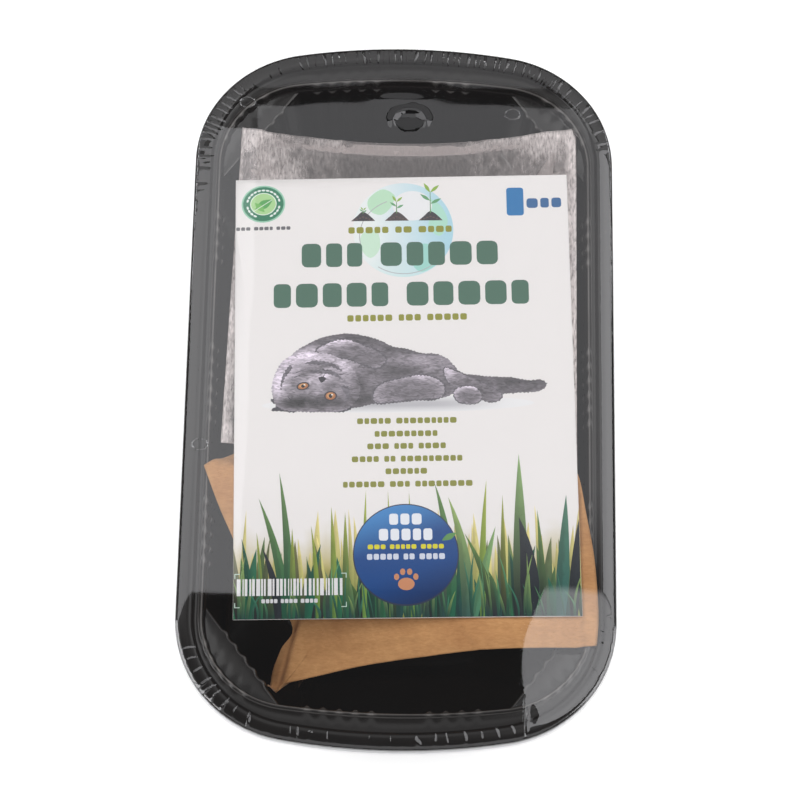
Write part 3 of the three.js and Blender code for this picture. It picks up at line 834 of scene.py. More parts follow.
draw(oval(0.4, 55.2, 15.8, 16.4, 64), sea)
draw(soft_line([(-10.5, 66), (-6, 69.5), (-2, 67), (-3.5, 63), (-6.5, 60.5), (-10, 62)]), ink(190, 226, 196))
draw(soft_line([(7, 66.5), (12, 64), (14.5, 58), (12, 53), (8.5, 56), (9, 61)]), ink(178, 224, 206))
draw(soft_line([(-12.5, 54), (-8, 55), (-7, 49), (-10, 45.5), (-13, 49)]), ink(204, 232, 210))
draw(soft_line([(5, 50), (11, 49), (11.5, 44), (6, 40.5), (3, 44)]), ink(160, 216, 206))
for start in (math.pi * 0.62, math.pi * 1.3):
    turns = [start + 0.1 * i for i in range(16)]
    outer_edge = [(0.5 + 14 * math.cos(a), 53 + 13.2 * math.sin(a)) for a in turns]
    inner_edge = [(0.5 + 13.75 * math.cos(a), 53 + 12.95 * math.sin(a)) for a in turns]
    draw(outer_edge + inner_edge[::-1], ink(178, 178, 182))
draw(oval(3.4, 63.6, 6.2, 5.2, 32), ink(236, 236, 238))


# Three soil mounds, with a seedling that grows from one to the next.
def mound(middle_u, low, half, height, colour):
    draw(soft_line([
        (middle_u - half, low, "sharp"), (middle_u - half * 0.5, low + height * 0.55),
        (middle_u - 0.3, low + height), (middle_u + half * 0.4, low + height * 0.75),
        (middle_u + half, low, "sharp")], 0.6), colour)
    for i in range(7):
        crumb_u = middle_u + half * (i / 3 - 1) * 0.8
        draw(oval(crumb_u, low + height * 0.35 * (1 - abs(i / 3 - 1)) + 0.3, 0.4, 0.25, 8), ink(92, 70, 66))


def leaf(root_u, root_v, length, angle, width, colour):
    tip = (root_u + length * math.cos(angle), root_v + length * math.sin(angle))
    bow_u, bow_v = -math.sin(angle) * width, math.cos(angle) * width
    middle_u, middle_v = root_u + (tip[0] - root_u) * 0.5, root_v + (tip[1] - root_v) * 0.5
    draw(soft_line([(root_u, root_v, "sharp"), (middle_u - bow_u, middle_v - bow_v), (*tip, "sharp"),
                    (middle_u + bow_u, middle_v + bow_v)], 0.5), colour)


dark_soil, brown_soil = ink(44, 40, 48), ink(66, 52, 54)
for mound_u, stem, soil in ((-12.2, 1.2, dark_soil), (-1.6, 4, brown_soil), (9.1, 7.2, dark_soil)):
    mound(mound_u, 58.4, 3.8, 3.2, soil)
    draw([(mound_u - 0.16, 61), (mound_u + 0.16, 61), (mound_u + 0.1, 61 + stem), (mound_u - 0.1, 61 + stem)],
         ink(92, 140, 82))
    for leaf_share, angle in ((0.45, 0.5), (0.6, 2.5), (1, 0.75), (1, 2.1)):
        green = ink(140, 176, 60) if leaf_share == 1 else ink(96, 160, 110)
        leaf(mound_u, 61 + stem * leaf_share, 0.9 + stem * 0.42, angle, 0.2 + stem * 0.05, green)

# Seal at the far left: a green ring with a leaf in it.
seal_u, seal_v = -43.7, 65
draw(oval(seal_u, seal_v, 6.9, 6.6, 48), ink(150, 205, 178))
draw(oval(seal_u, seal_v, 6.4, 6.1, 48), ink(18, 122, 86))
for i in range(24):
    a = math.tau * i / 24
    if not 4.35 < a < 5.1 and i not in (0, 12):
        dash_u, dash_v = seal_u + 5.15 * math.cos(a), seal_v + 4.9 * math.sin(a)
        draw(oval(dash_u, dash_v, 0.62, 0.36, 8, a + math.pi / 2), ink(232, 240, 236))
draw(oval(seal_u, seal_v, 4.2, 4, 40), ink(228, 240, 226))
draw(oval(seal_u, seal_v, 3.9, 3.7, 40), ink(174, 216, 150))
leaf(seal_u - 2.6, seal_v - 1.9, 6.6, 0.55, 1.5, ink(82, 166, 84))
leaf(seal_u + 0.4, seal_v - 2.9, 4.6, 2.3, 1, ink(120, 190, 98))
leaf_vein = ((-3, -2.3), (-2.8, -2.5), (2.9, 1.4), (2.8, 1.6))
draw([(seal_u + across, seal_v + along) for across, along in leaf_vein], ink(226, 240, 222))
words = random.Random(5)
block_row(seal_u, 56.3, 1.2, (3, 4, 3), 1.55, ink(96, 96, 100), words)

# Blue blocks at the far right, one large and three small.
draw(block(33.2, 59.8, 38.6, 69.6, 0.9), ink(0, 116, 178))
block_row(45, 64.2, 3.4, (3,), 4.1, ink(36, 98, 152), words, 0.02)

# Four rows at the top: two tall green ones between two small olive ones.
title_green, title_olive = ink(62, 106, 86), ink(142, 142, 30)
block_row(-0.6, 55.3, 2.2, (5, 2, 4), 2.9, title_olive, words, 0.008)
block_row(-0.8, 46.8, 8.2, (3, 5), 7.7, title_green, words, 0.008)
block_row(-0.5, 33, 8.2, (5, 5), 7.7, title_green, words, 0.008)
block_row(1.2, 24.9, 2.2, (6, 3, 5), 2.7, title_olive, words, 0.008)


# Cat, lying on its back with its head towards the left. Soft patches of light and shade model its coat:
# where each one is, how far it reaches across and along, and how much lighter or darker it is.
coat_patches = (
    (-12, 18, 12, 2.4, -0.10), (2, 13.6, 8, 1.6, -0.09), (3.5, 10, 6, 2.6, 0.14), (12, 8, 4, 3, 0.08),
    (-30, 12.4, 7, 2.6, 0.26), (-39, 2.6, 2.2, 4.5, 0.3), (-36, 8, 3, 3, 0.2), (-18, 9, 3.5, 4, 0.2),
    (-27.5, -3.6, 9, 2.2, -0.24), (-34.5, -3.6, 4, 1.6, -0.16), (-24.5, 5.6, 2.6, 1.7, 0.2),
    (-28.2, 4.4, 2.4, 1.4, 0.12), (-20.5, 4.2, 2.4, 2.6, -0.06), (-27.2, 0.4, 1.8, 2.2, 0.06),
    (-31, 6.8, 3.4, 1.4, -0.08), (-14, 3, 2.2, 4, -0.1), (-12, -2.6, 5, 2, -0.12), (0, 6.6, 7, 1.8, -0.14),
    (14, 4, 3, 2, -0.08), (-8, 12, 3, 2, -0.05), (24, 2.8, 7, 1, 0.02), (36, 2.4, 8, 1.4, -0.05),
    (-15, 14, 5, 1.4, -0.08),
)


# The cat's grey leans a little to violet.
def cat_grey(tone):
    return ink(tone * 1.02, tone * 0.97, tone * 1.03, 1)


def coat(base):
    def colour(u, v):
        tone = base + sum(lift * math.exp(-((u - patch_u) / reach_u) ** 2 - ((v - patch_v) / reach_v) ** 2)
                          for patch_u, patch_v, reach_u, reach_v, lift in coat_patches)
        tone += 0.07 * noise.fractal(Vector((u * 0.2, v * 0.4, 3)), 0.8, 2.1, 4)
        return cat_grey(min(max((tone - 0.42) * 1.35 + 0.47, 0.08), 0.9) * 255)
    return colour


# A leg or a paw is lighter towards its edge, most of all above, and darker below.
def lit_limb(line, base, rim_light):
    centre_u = sum(u for u, v in line) / len(line)
    centre_v = sum(v for u, v in line) / len(line)
    reach_u = max(abs(u - centre_u) for u, v in line)
    reach_v = max(abs(v - centre_v) for u, v in line)

    def colour(u, v):
        edge = min(1, math.hypot((u - centre_u) / reach_u, (v - centre_v) / reach_v))
        high = max(0, (v - centre_v) / reach_v)
        lit = rim_light * edge ** 4 * (0.55 + 0.45 * high)
        return cat_grey((base + lit - 0.08 * (centre_v - v) / reach_v) * 255)
    return colour


# An outline moved outwards, for the shadow that a limb casts on the coat behind it.
def grown(line, reach):
    ring = []
    for i, (u, v) in enumerate(line):
        along = (Vector(line[(i + 1) % len(line)]) - Vector(line[i - 1])).normalized()
        ring.append((u - along.y * reach, v + along.x * reach))
    return ring


# An outline with short hairs along it.
def furry(line, length):
    ragged = []
    for i, (u, v) in enumerate(line):
        push = length * (0.5 - (i % 2)) + length * noise.noise(Vector((u * 1.3, v * 1.3, 2)))
        here, there = Vector(line[i - 1]), Vector(line[(i + 1) % len(line)])
        along = (there - here).normalized()
        ragged.append((u + along.y * push, v - along.x * push))
    return ragged


def cat_part(corners, colour, ragged=0.22, shadow=0.0):
    line = soft_line(corners, 0.55)
    if shadow:
        draw(furry(grown(line, shadow), ragged * 1.3), ink(100, 96, 103, 1))
    draw(furry(line, ragged), colour)


# The soft shadow under the cat.
def cast_shade(u, v):
    fade = math.exp(-((u + 2) / 26) ** 4) * (1 - min(1, abs(v + 4.4) / 2.8))
    return blend(ink(238, 237, 238), ink(176, 174, 180), fade)


draw(oval(-2, -4.4, 42, 2.8, 60), cast_shade)
tail = [(14, 5.6), (20, 5.3), (26, 4.6), (33, 4.2), (38.5, 3.1), (42, 3.4), (44, 2), (43.2, 0.2),
        (40.2, -0.8), (34, -1.1), (27, -1.5), (18, -1)]
cat_part(tail, coat(0.37), 0.3)
trunk = [(-35, 12), (-27.5, 17.4), (-22, 19.1), (-16.8, 19.6), (-11.5, 18.6), (-7, 17), (-3.4, 15.1),
         (1.3, 14.1), (5.3, 12.8), (10, 12.4), (13.1, 11), (15.2, 8.8), (17, 5.8), (17, 1), (12, -2.4),
         (2, -3.5), (-9.5, -4.3), (-17, -5.6), (-26, -4), (-34, 3)]
cat_part(trunk, coat(0.42))
far_leg = [(12.5, 7.5), (16.5, 6.2), (19.1, 5), (25.4, 1.8), (29.7, -1.1), (29.5, -3), (27.4, -3.9),
           (24.4, -3.3), (20, -0.2), (14, 2.4)]
cat_part(far_leg, lit_limb(far_leg, 0.43, 0.3), 0.2, 0.35)
near_paw = [(15.4, -0.2), (18.5, 1.3), (21.9, 0.9), (23.7, -1.4), (23, -3.8), (20.2, -4.5), (16.4, -3.5)]
cat_part(near_paw, lit_limb(near_paw, 0.46, 0.36), 0.2, 0.35)
low_arm = [(-9, 0.4), (-6, 2.8), (-1.2, 4.1), (4.6, 5.2), (9.2, 4.3), (12, 2), (12.1, -1.2), (9.2, -2.6),
           (3.3, -2.7), (-2.5, -3.3), (-9, -3.6)]
cat_part(low_arm, lit_limb(low_arm, 0.46, 0.34), 0.24, 0.6)
high_arm = [(-27, 14), (-21, 17.3), (-16.2, 17.1), (-11.6, 15), (-7.5, 13), (-5.7, 10.7), (-7, 8.5),
            (-9.4, 8), (-13, 9.4), (-17, 11.2), (-22, 12)]
cat_part(high_arm, lit_limb(high_arm, 0.46, 0.36), 0.24, 0.6)
small_ear = [(-19, -3), (-16.2, -5.4), (-18.9, -6.8), (-22.6, -6.4)]
cat_part(small_ear, ink(74, 72, 80, 1))
large_ear = [(-41.4, -2.6), (-38.6, -1.8), (-33.6, -3), (-33.4, -6.6), (-37.4, -6.4), (-41.3, -6.1),
             (-39.6, -4.4)]
cat_part(large_ear, ink(70, 68, 76, 1))
head = [(-40.7, -1.2), (-40.9, 2), (-39.9, 6.3), (-37.4, 10.6), (-32.5, 13.3), (-26.6, 13.3), (-20.9, 11.8),
        (-16.9, 8.9), (-14.6, 5.2), (-13.6, 0.9), (-14.8, -3), (-18.8, -6.3), (-26.8, -6.8), (-35.5, -6.3),
        (-39.4, -4.6)]
cat_part(head, coat(0.49), 0.24)
for stripe in ([(-31, 9.6), (-27, 10.6), (-22, 9.4), (-18.6, 6.6), (-22.4, 8.4), (-27, 9.2)],
               [(-29.5, 6.6), (-26, 7.6), (-21.6, 6.8), (-19, 4), (-22.2, 5.6), (-26, 6.2)],
               [(-35.6, 9), (-37.8, 5), (-38.2, 0.6), (-37, 4.6), (-34.6, 8)],
               [(-19.6, 1.8), (-18.2, -1.2), (-19, -4.4), (-16.8, -1.6), (-17.4, 1.6)]):
    cat_part(stripe, ink(112, 107, 115, 1), 0.3)

# Face, seen upside down: two amber eyes, the nose and mouth above them and whiskers.
for eye_u, eye_v, wide, tall, turn in ((-31.3, 2, 1.6, 0.95, 0.25), (-22.8, -1.4, 1.55, 1.25, 0.1)):
    draw(oval(eye_u, eye_v, wide + 0.45, tall + 0.4, 24, turn), ink(58, 54, 62))
    draw(oval(eye_u, eye_v, wide, tall, 24, turn), ink(176, 112, 66))
    draw(oval(eye_u - 0.1, eye_v + 0.2, wide * 0.72, tall * 0.7, 20, turn), ink(208, 154, 104))
    draw(oval(eye_u, eye_v, wide * 0.36, tall * 0.55, 16, turn), ink(26, 22, 26))
    draw(oval(eye_u + 0.45, eye_v + 0.4, 0.26, 0.22, 10), ink(250, 250, 250))
nose = [(-26.6, 4.8, "sharp"), (-25.2, 5.2), (-24, 4.4, "sharp"), (-25.6, 3.1)]
draw(soft_line(nose, 0.4), ink(50, 46, 54))
mouth_and_whiskers = (
    (-25, 5, -24.2, 7), (-24.2, 7, -21.8, 7.6), (-24.2, 7, -26.6, 8.2), (-33.5, 6.5, -29, 8.2),
    (-34, 5, -30, 6.4), (-20, 5.6, -17, 6.6), (-36, -1.5, -33, -4.6), (-31, -2, -29.5, -5),
    (-27, -2.4, -26.5, -5.4),
)
for low_u, low_v, high_u, high_v in mouth_and_whiskers:
    run = Vector((high_u - low_u, high_v - low_v)).normalized() * 0.13
    draw([(low_u - run.y, low_v + run.x), (low_u + run.y, low_v - run.x), (high_u, high_v)],
         ink(66, 63, 71, 1))

# Six short rows under the cat.
list_olive = ink(134, 136, 40)
for row_v, groups, middle in ((-9.9, (5, 9), 0.6), (-14.2, (9,), 0.3), (-18.3, (3, 3, 4), 0.4),
                              (-22.5, (4, 2, 9), 0.5), (-26.6, (6,), 0.2), (-30.8, (6, 3, 8), 0.6)):
    block_row(middle, row_v, 1.9, groups, 2.25, list_olive, words, 0.004)


# Grass bank. A blurred yellowish haze stands behind, then dark blades, then tall sharp ones.
def bank(u, v):
    uneven = 6 * noise.noise(Vector((u * 0.1, 0, 5))) + 3 * noise.noise(Vector((u * 0.4, 0, 8)))
    height = (v + 74) / (27 + uneven)
    dark = ink(8, 16, 22) if u > 18 else ink(10, 40, 36)
    low = blend(dark, ink(30, 86, 66), height / 0.4)
    high = blend(ink(190, 176, 104), ink(238, 234, 233), (height - 0.52) / 0.48)
    return blend(low, high, (height - 0.26) / 0.34)


draw([(-52.45, -73.95), (52.45, -73.95), (52.45, -41), (-52.45, -41)], bank)


# A blade of grass, bowed to one side, with a light and a dark half.
def blade(root_u, tip_u, tip_v, width, tip_ink, root_ink, bow=0.0, root_v=-73.9):
    left, right_side = [], []
    steps = 9
    for i in range(steps + 1):
        t = i / steps
        middle_u = root_u * (1 - t) ** 2 + 2 * (root_u + bow) * t * (1 - t) + tip_u * t ** 2
        middle_v = root_v + (tip_v - root_v) * t
        half = 0.5 * width * min(1, 0.62 + 1.2 * t) * (1 - t ** 2.2)
        left.append((middle_u - half, middle_v))
        right_side.append((middle_u + half, middle_v))
    fold = dice.uniform(-0.12, 0.12)

    def colour(u, v):
        share = min(max((v - root_v) / (tip_v - root_v), 0), 1)
        centre = root_u * (1 - share) ** 2 + 2 * (root_u + bow) * share * (1 - share) + tip_u * share ** 2
        vein = 1 + fold + (0.2 if u > centre else -0.14)
        red, green, blue, fur = blend(root_ink, tip_ink, share ** 1.25)
        return red * vein, green * vein, blue * vein, fur
    draw(left + right_side[-2::-1], colour)


dice = random.Random(23)
hazy_blades, dark_blades, thin_blades = 44, 84, 64
for i in range(hazy_blades):
    root = -52 + 104 * (i + dice.random()) / hazy_blades
    tip_v = dice.uniform(-54, -38)
    blade(root, root + dice.uniform(-1.5, 1.5), tip_v, dice.uniform(1.8, 3.8), ink(222, 208, 138),
          ink(132, 140, 66), dice.uniform(-1, 1))
for i in range(dark_blades):
    root = -53 + 106 * (i + dice.random()) / dark_blades
    tip_v = dice.uniform(-64, -46)
    dark = dice.choice((ink(8, 50, 40), ink(12, 70, 54), ink(16, 26, 32), ink(26, 92, 62), ink(18, 60, 58)))
    tip_dark = blend(dark, dice.choice((ink(110, 146, 66), ink(40, 110, 84), ink(150, 150, 84))), 0.5)
    blade(root, root + dice.uniform(-2.5, 2.5), tip_v, dice.uniform(1.6, 4), tip_dark,
          dark, dice.uniform(-1, 1))
# Each tall blade: where its root and its tip are, its width, the inks of its tip and root, and its bow.
moss, teal, slate, lime = ink(92, 128, 58), ink(14, 82, 60), ink(24, 32, 40), ink(154, 164, 52)
pale_moss, fresh, leek, sage = ink(150, 176, 96), ink(136, 172, 102), ink(66, 124, 96), ink(124, 158, 92)
bottle, jade, pine = ink(44, 84, 76), ink(64, 118, 92), ink(40, 88, 84)
tall_blades = (
    (-36.5, -44.9, -35, 3.4, moss, teal, -1), (-35.8, -38.6, -26.6, 3, moss, teal, 0.6),
    (-34.5, -34.7, -44.8, 2.2, lime, teal, 0), (-39, -43.8, -51, 3, slate, slate, 0),
    (-22, -22.8, -37.8, 2.2, lime, moss, 0), (-18.5, -18.6, -39.7, 2.4, lime, teal, 0),
    (-13, -12.2, -32.6, 1.8, lime, moss, 0), (-5, -5.5, -32.7, 1.5, lime, moss, 0),
    (1.5, 0.9, -33.2, 1.6, lime, moss, 0), (13, 8.7, -30.3, 3.6, moss, teal, 1.5),
    (17.5, 12.8, -35.2, 4.2, pale_moss, bottle, 2), (22.5, 24.6, -29.7, 2.4, lime, moss, 0),
    (29, 29.4, -34.7, 2, lime, slate, 0), (34, 34.7, -21.4, 5, sage, slate, 0.5),
    (36.5, 34.2, -42, 6.4, slate, slate, 1.5), (41, 39.8, -39.7, 2.2, moss, slate, 0),
    (46, 48.8, -34.9, 4.4, leek, pine, 1.5), (50, 52.4, -43, 3.6, slate, slate, 0.5),
    (20, 27, -45, 3.4, fresh, jade, 3), (26, 17.5, -47, 3, moss, slate, -1.5),
    (-30, -26, -50, 3.2, teal, teal, 1), (-47, -50, -48, 2.6, teal, teal, -0.5),
    (-44, -45.5, -46, 1.6, lime, teal, 0), (-27, -29, -44, 1.8, lime, moss, 0),
)
for root_u, tip_u, tip_v, width, tip_ink, root_ink, bow in tall_blades:
    blade(root_u, tip_u, tip_v, width, tip_ink, root_ink, bow)
for i in range(thin_blades):
    root = dice.uniform(-51, 51)
    pale = dice.choice((ink(96, 156, 104), ink(60, 128, 100), ink(140, 168, 96)))
    blade(root, root + dice.uniform(-4, 4), dice.uniform(-67, -52), dice.uniform(0.4, 1.2), pale,
          ink(22, 66, 54), dice.uniform(-1, 1))

# Round blue badge with plain blocks and a paw print.
badge_u, badge_v, badge_radius = -0.3, -53.7, 15.7


def badge_blue(u, v):
    share = ((v - badge_v) + 0.35 * (badge_u - u)) / badge_radius
    shade = blend(ink(0, 70, 138), ink(60, 136, 200), (share - 0.25) / 0.75)
    return blend(shade, ink(4, 38, 88), (-share - 0.35) / 0.8)


draw(oval(badge_u, badge_v - 0.1, badge_radius + 0.35, badge_radius + 0.75, 72), ink(44, 54, 78))
draw(oval(badge_u, badge_v, badge_radius, badge_radius + 0.3, 72), badge_blue)
block_row(badge_u, -42.3, 3.6, (3,), 3.6, ink(236, 238, 244), words)
block_row(badge_u, -47.3, 3.8, (5,), 3.7, ink(236, 238, 244), words)
block_row(badge_u, -51.2, 1.5, (3, 5, 4), 1.8, ink(224, 214, 40), words)
block_row(badge_u, -54.4, 1.9, (5, 2, 4), 2, ink(214, 220, 234), words)
paw_brown = ink(206, 142, 104)
draw(oval(badge_u, -63.2, 2.5, 2, 28), paw_brown)
for toe_u, toe_v in ((-2.9, -60.9), (-1.05, -59.3), (1.05, -59.3), (2.9, -60.9)):
    draw(oval(badge_u + toe_u, toe_v, 0.8, 1.05, 16), paw_brown)
leaf(10.6, -49.4, 5.2, 0.5, 1, ink(96, 150, 84))

# Strip of upright bars of random widths at the near left, with a small mark at each of its corners.
bar_dice = random.Random(40)
bar_u = -51.4
while bar_u < -20:
    bar_width = bar_dice.choice((0.35, 0.55, 0.8, 1.15))
    draw([(bar_u, -66.5), (bar_u + bar_width, -66.5), (bar_u + bar_width, -61.1), (bar_u, -61.1)],
         ink(230, 228, 230))
    bar_u += bar_width + bar_dice.choice((0.3, 0.45, 0.6))
block_row(-35.5, -68.2, 1.3, (4, 4, 4), 1.35, ink(214, 214, 218), words)
for mark_u, mark_v, inward_u, inward_v in (
        (-52.1, -59.4, 1, -1), (-18.3, -59.4, -1, -1), (-52.1, -70.3, 1, 1), (-18.3, -70.3, -1, 1)):
    for wide, tall in ((1.6, 0.25), (0.25, 1.6)):
        end_u, end_v = mark_u + inward_u * wide, mark_v + inward_v * tall
        draw([(mark_u, mark_v), (end_u, mark_v), (end_u, end_v), (mark_u, end_v)], ink(200, 222, 210))

# The board's face is one net of triangles that follows every outline. It has spare points all over, so that
# it can bend, and more of them under the cat and the grass, where the inks change softly.
white_board = ink(238, 234, 233)
board_edge = [(-52.5, -74), (52.5, -74), (52.5, 74), (-52.5, 74)]
net_points, net_faces = [], []
for outline, colour in [(board_edge, None)] + shapes:
    signed_area = sum(a[0] * b[1] - b[0] * a[1] for a, b in zip(outline, outline[1:] + outline[:1]))
    turned = outline if signed_area > 0 else outline[::-1]
    net_faces.append(list(range(len(net_points), len(net_points) + len(turned))))
    net_points += [Vector(point) for point in turned]
net_points += [Vector((u * 3.5, v * 3.5)) for u in range(-14, 15) for v in range(-20, 21)]
net_points += [Vector((-40 + u * 1.1, -6 + v * 1.1)) for u in range(76) for v in range(23)]
net_points += [Vector((-51.5 + u * 1.9, -73 + v * 1.9)) for u in range(55) for v in range(13)]
net = geometry.delaunay_2d_cdt(net_points, [], net_faces, 1, 1e-4)
points, triangles, from_faces = net[0], net[2], net[5]

bpy.ops.object.select_all(action="DESELECT")
bpy.ops.mesh.primitive_plane_add(size=1)
card = bpy.context.object
card.name = "picture_card"
card.data.clear_geometry()
card_places = []
for u, v in points:
    x = card_middle.x + (u * math.cos(card_turn) - v * math.sin(card_turn)) * mm
    y = card_middle.y + (v * math.cos(card_turn) + u * math.sin(card_turn)) * mm
    card_places.append((x, y, card_high.z - card_dip(x, y)))
card.data.from_pydata(card_places, [], triangles)
# Each triangle is printed with the last shape drawn over it. The back and the cut edges stay white.
printed = card.data.color_attributes.new("ink", "FLOAT_COLOR", "CORNER")
for polygon in card.data.polygons:
    top_shape = max(from_faces[polygon.index])
    for corner in polygon.loop_indices:
        u, v = points[card.data.loops[corner].vertex_index]
        printed.data[corner].color = white_board if top_shape == 0 else shapes[top_shape - 1][1](u, v)
board = card.modifiers.new("board", "SOLIDIFY")
board.thickness = card_thickness
board.offset = -1
bpy.ops.object.modifier_apply(modifier="board")
printed = card.data.color_attributes["ink"]
for polygon in card.data.polygons:
    if polygon.normal.z < 0.5:
        for corner in polygon.loop_indices:
            printed.data[corner].color = white_board
bpy.ops.object.shade_smooth_by_angle(angle=math.radians(40))

coated_card = bpy.data.materials.new("coated_card")
coated_card.use_nodes = True
nodes, links = coated_card.node_tree.nodes, coated_card.node_tree.links
coating = nodes["Principled BSDF"]
coating.inputs["Specular IOR Level"].default_value = 0.3
place = nodes.new("ShaderNodeTexCoord")
picture = nodes.new("ShaderNodeAttribute")
picture.attribute_name = "ink"
hair_lie = nodes.new("ShaderNodeMapping")
hair_lie.inputs["Scale"].default_value = (420, 1300, 1)
hair_lie.inputs["Rotation"].default_value = (0, 0, 0.5)
links.new(place.outputs["Object"], hair_lie.inputs["Vector"])
hairs = nodes.new("ShaderNodeTexNoise")
hairs.inputs["Scale"].default_value = 1
hairs.inputs["Detail"].default_value = 4
hairs.inputs["Distortion"].default_value = 1.2
links.new(hair_lie.outputs["Vector"], hairs.inputs["Vector"])
hair_tone = nodes.new("ShaderNodeMapRange")
hair_tone.inputs["From Min"].default_value, hair_tone.inputs["From Max"].default_value = 0.33, 0.67
hair_tone.inputs["To Min"].default_value, hair_tone.inputs["To Max"].default_value = 0.55, 1.4
links.new(hairs.outputs["Fac"], hair_tone.inputs["Value"])
furred = nodes.new("ShaderNodeMix")
furred.data_type = "RGBA"
furred.blend_type = "MULTIPLY"
links.new(picture.outputs["Alpha"], furred.inputs["Factor"])
links.new(picture.outputs["Color"], furred.inputs[6])
links.new(hair_tone.outputs["Result"], furred.inputs[7])
links.new(furred.outputs[2], coating.inputs["Base Color"])
card_fleck = add_sheen(coated_card, place, scale=700, detail=3, smoothest=0.36, dullest=0.5)
relief = nodes.new("ShaderNodeBump")
relief.inputs["Strength"].default_value = 0.08
relief.inputs["Distance"].default_value = 0.05 * mm
links.new(card_fleck, relief.inputs["Height"])
links.new(relief.outputs["Normal"], coating.inputs["Normal"])
card.data.materials.append(coated_card)
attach(card, "root")
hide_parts("printed_card")

# Shrink film
# One clear film, far thinner than a hair, is sealed round the whole kit and shrunk in hot air. It lies flat
# over the rim, gathers in small crimps round the edge, and has a few melted vents that let the air out.
film_top = rim_top + 0.28 * mm
pucker_x = 1.6
film_lap_steps = (110, 150, 190)
film_perimeter = [Vector((x, y)) for x, y, wall in lap(rim_shape(0), *film_lap_steps)]
film_run = [0.0]
for here, there in zip(film_perimeter, film_perimeter[1:]):
    film_run.append(film_run[-1] + (there - here).length)

# Where the film gathered as it shrank: place, reach, pitch and height of the crimps, in millimetres.
crimp_zones = (
    (-58, 86, 32, 2.6, 0.26),
    (-42, -106, 31, 4.1, 0.5),
    (18, 117, 46, 2.1, 0.5),
    (-22, 117, 30, 2.5, 0.36),
    (61, -86, 14, 5.5, 0.2),
    (56, 96, 22, 3.4, 0.25),
    (14, -118, 30, 4.6, 0.26),
)


# How far the film stands up in its crimps at a point of the edge, which lies this far along it.
def crimp(x, y, run):
    rise = 0
    lean = 0.35 * noise.noise(Vector((x * 260, y * 260, 9)))
    for zone_x, zone_y, reach, pitch, height in crimp_zones:
        far_off = math.hypot(x / mm - zone_x, y / mm - zone_y) / reach
        if far_off < 1:
            turns = run / mm / pitch
            wander = noise.noise(Vector((turns * 0.45, zone_x, 0.5)))
            wave = math.cos(2 * math.pi * (turns + 0.8 * wander + lean))
            uneven = 0.55 + 0.9 * noise.noise(Vector((turns * 0.8, zone_y, 3.5)))
            rise += height * mm * max(wave, 0) ** 6 * uneven * (1 - far_off ** 2)
    return rise


# A soft round bump, 1 in its middle. The middle and the reach are in millimetres.
def bell(x, y, centre_x, centre_y, reach_x, reach_y):
    across, along = (x / mm - centre_x) / reach_x, (y / mm - centre_y) / reach_y
    return math.exp(-across * across - along * along)


# The film's top is almost flat. It puckers at an arched fold near the far end, sinks a little over the
# near right corner, and has one sharp pleat across the near rim.
def film_height(x, y):
    wide_ripple = noise.noise(Vector((x * 22, y * 22, 1.5))) * 0.022
    fine_ripple = noise.noise(Vector((x * 70, y * 70, 4.5))) * 0.006
    arch_gap = math.hypot((x / mm - pucker_x) / 1.25, y / mm - 91.2) - 4.4
    arch_end = 1 if y > 91 * mm else math.exp(-((y / mm - 91) / 1.5) ** 2)
    arch = 0.3 * math.exp(-(arch_gap / 0.8) ** 2) * arch_end
    hollow = -0.22 * bell(x, y, pucker_x, 92.5, 4, 2.2) - 0.03 * bell(x, y, pucker_x, 95, 14, 9)
    folds = 0.16 * bell(x, y, -1, 98.6, 5, 0.7) - 0.14 * bell(x, y, 3, 87.6, 6, 0.7)
    pleat_x = 38.6 + 0.06 * (y / mm + 108)
    pleat = 0.3 * math.exp(-((x / mm - pleat_x) / 0.55) ** 2) / (1 + math.exp((y / mm + 102) / 0.9))
    notch = -0.18 * bell(x, y, 40.4, -106.5, 1, 1.6)
    tilt = -0.06 * bell(x, y, 52, -88, 18, 14)
    return film_top + (wide_ripple + fine_ripple + arch + hollow + folds + pleat + notch + tilt) * mm


# A ring of the film. Its crimps rise upwards where it lies on the rim and push outwards round the lip.
def film_ring(shape, height, gather=0, outward=0):
    ring = []
    for (x, y, wall), run in zip(lap(shape, *film_lap_steps), film_run):
        rise = crimp(x, y, run) * gather
        level = film_height(x, y) - film_top + height
        push = Vector((x, y)).normalized() * rise * outward
        ring.append(Vector((x + push.x, y + push.y, level + rise * (1 - outward))))
    return ring


# From the middle of the top out to the rim, down round the lip, in along the skirt, and under the base.
film_rings = []
inner = film_ring(rim_shape(34 * mm), film_top)
for share in (0.12, 0.5, 0.8):
    places = [(point.x * share, point.y * share) for point in inner]
    film_rings.append([Vector((x, y, film_height(x, y))) for x, y in places])
for inset in (34, 31, 29, 27.5, 26.5, 25.5, 24.5, 23.5, 22.5, 21.5, 20.5,
              19.5, 18, 16.5, 15, 13.5, 12, 11, 10, 9, 8, 7):
    film_rings.append(film_ring(rim_shape(inset * mm), film_top))
rim_fall_start = 4.6
for inset, gather in ((6.2, 0), (5.2, 0.03), (4.4, 0.15), (3.6, 0.5), (2.8, 0.9), (2, 1), (1.3, 0.9)):
    fall = 0.018 * mm * max(0, rim_fall_start - inset) ** 2
    film_rings.append(film_ring(rim_shape(inset * mm), film_top - fall, gather))
lip_reach, lip_drop = 0.25, 4.6
for outward, drop, gather in ((-0.7, 0.3, 0.5), (-0.2, 0.5, 0.35), (0.12, 0.8, 0.3), (0.2, 1.6, 0.3),
                              (lip_reach, 3, 0.3), (lip_reach, lip_drop, 0.3)):
    film_rings.append(film_ring(rim_shape(-outward * mm), film_top - drop * mm, gather, 0.8))
skirt_top, skirt_foot, skirt_steps = film_top - lip_drop * mm, 0.35 * mm, 9
lip_lap = lap(rim_shape(-lip_reach * mm), *film_lap_steps)
base_lap = lap(wall_shape(2.3 * mm), *film_lap_steps)
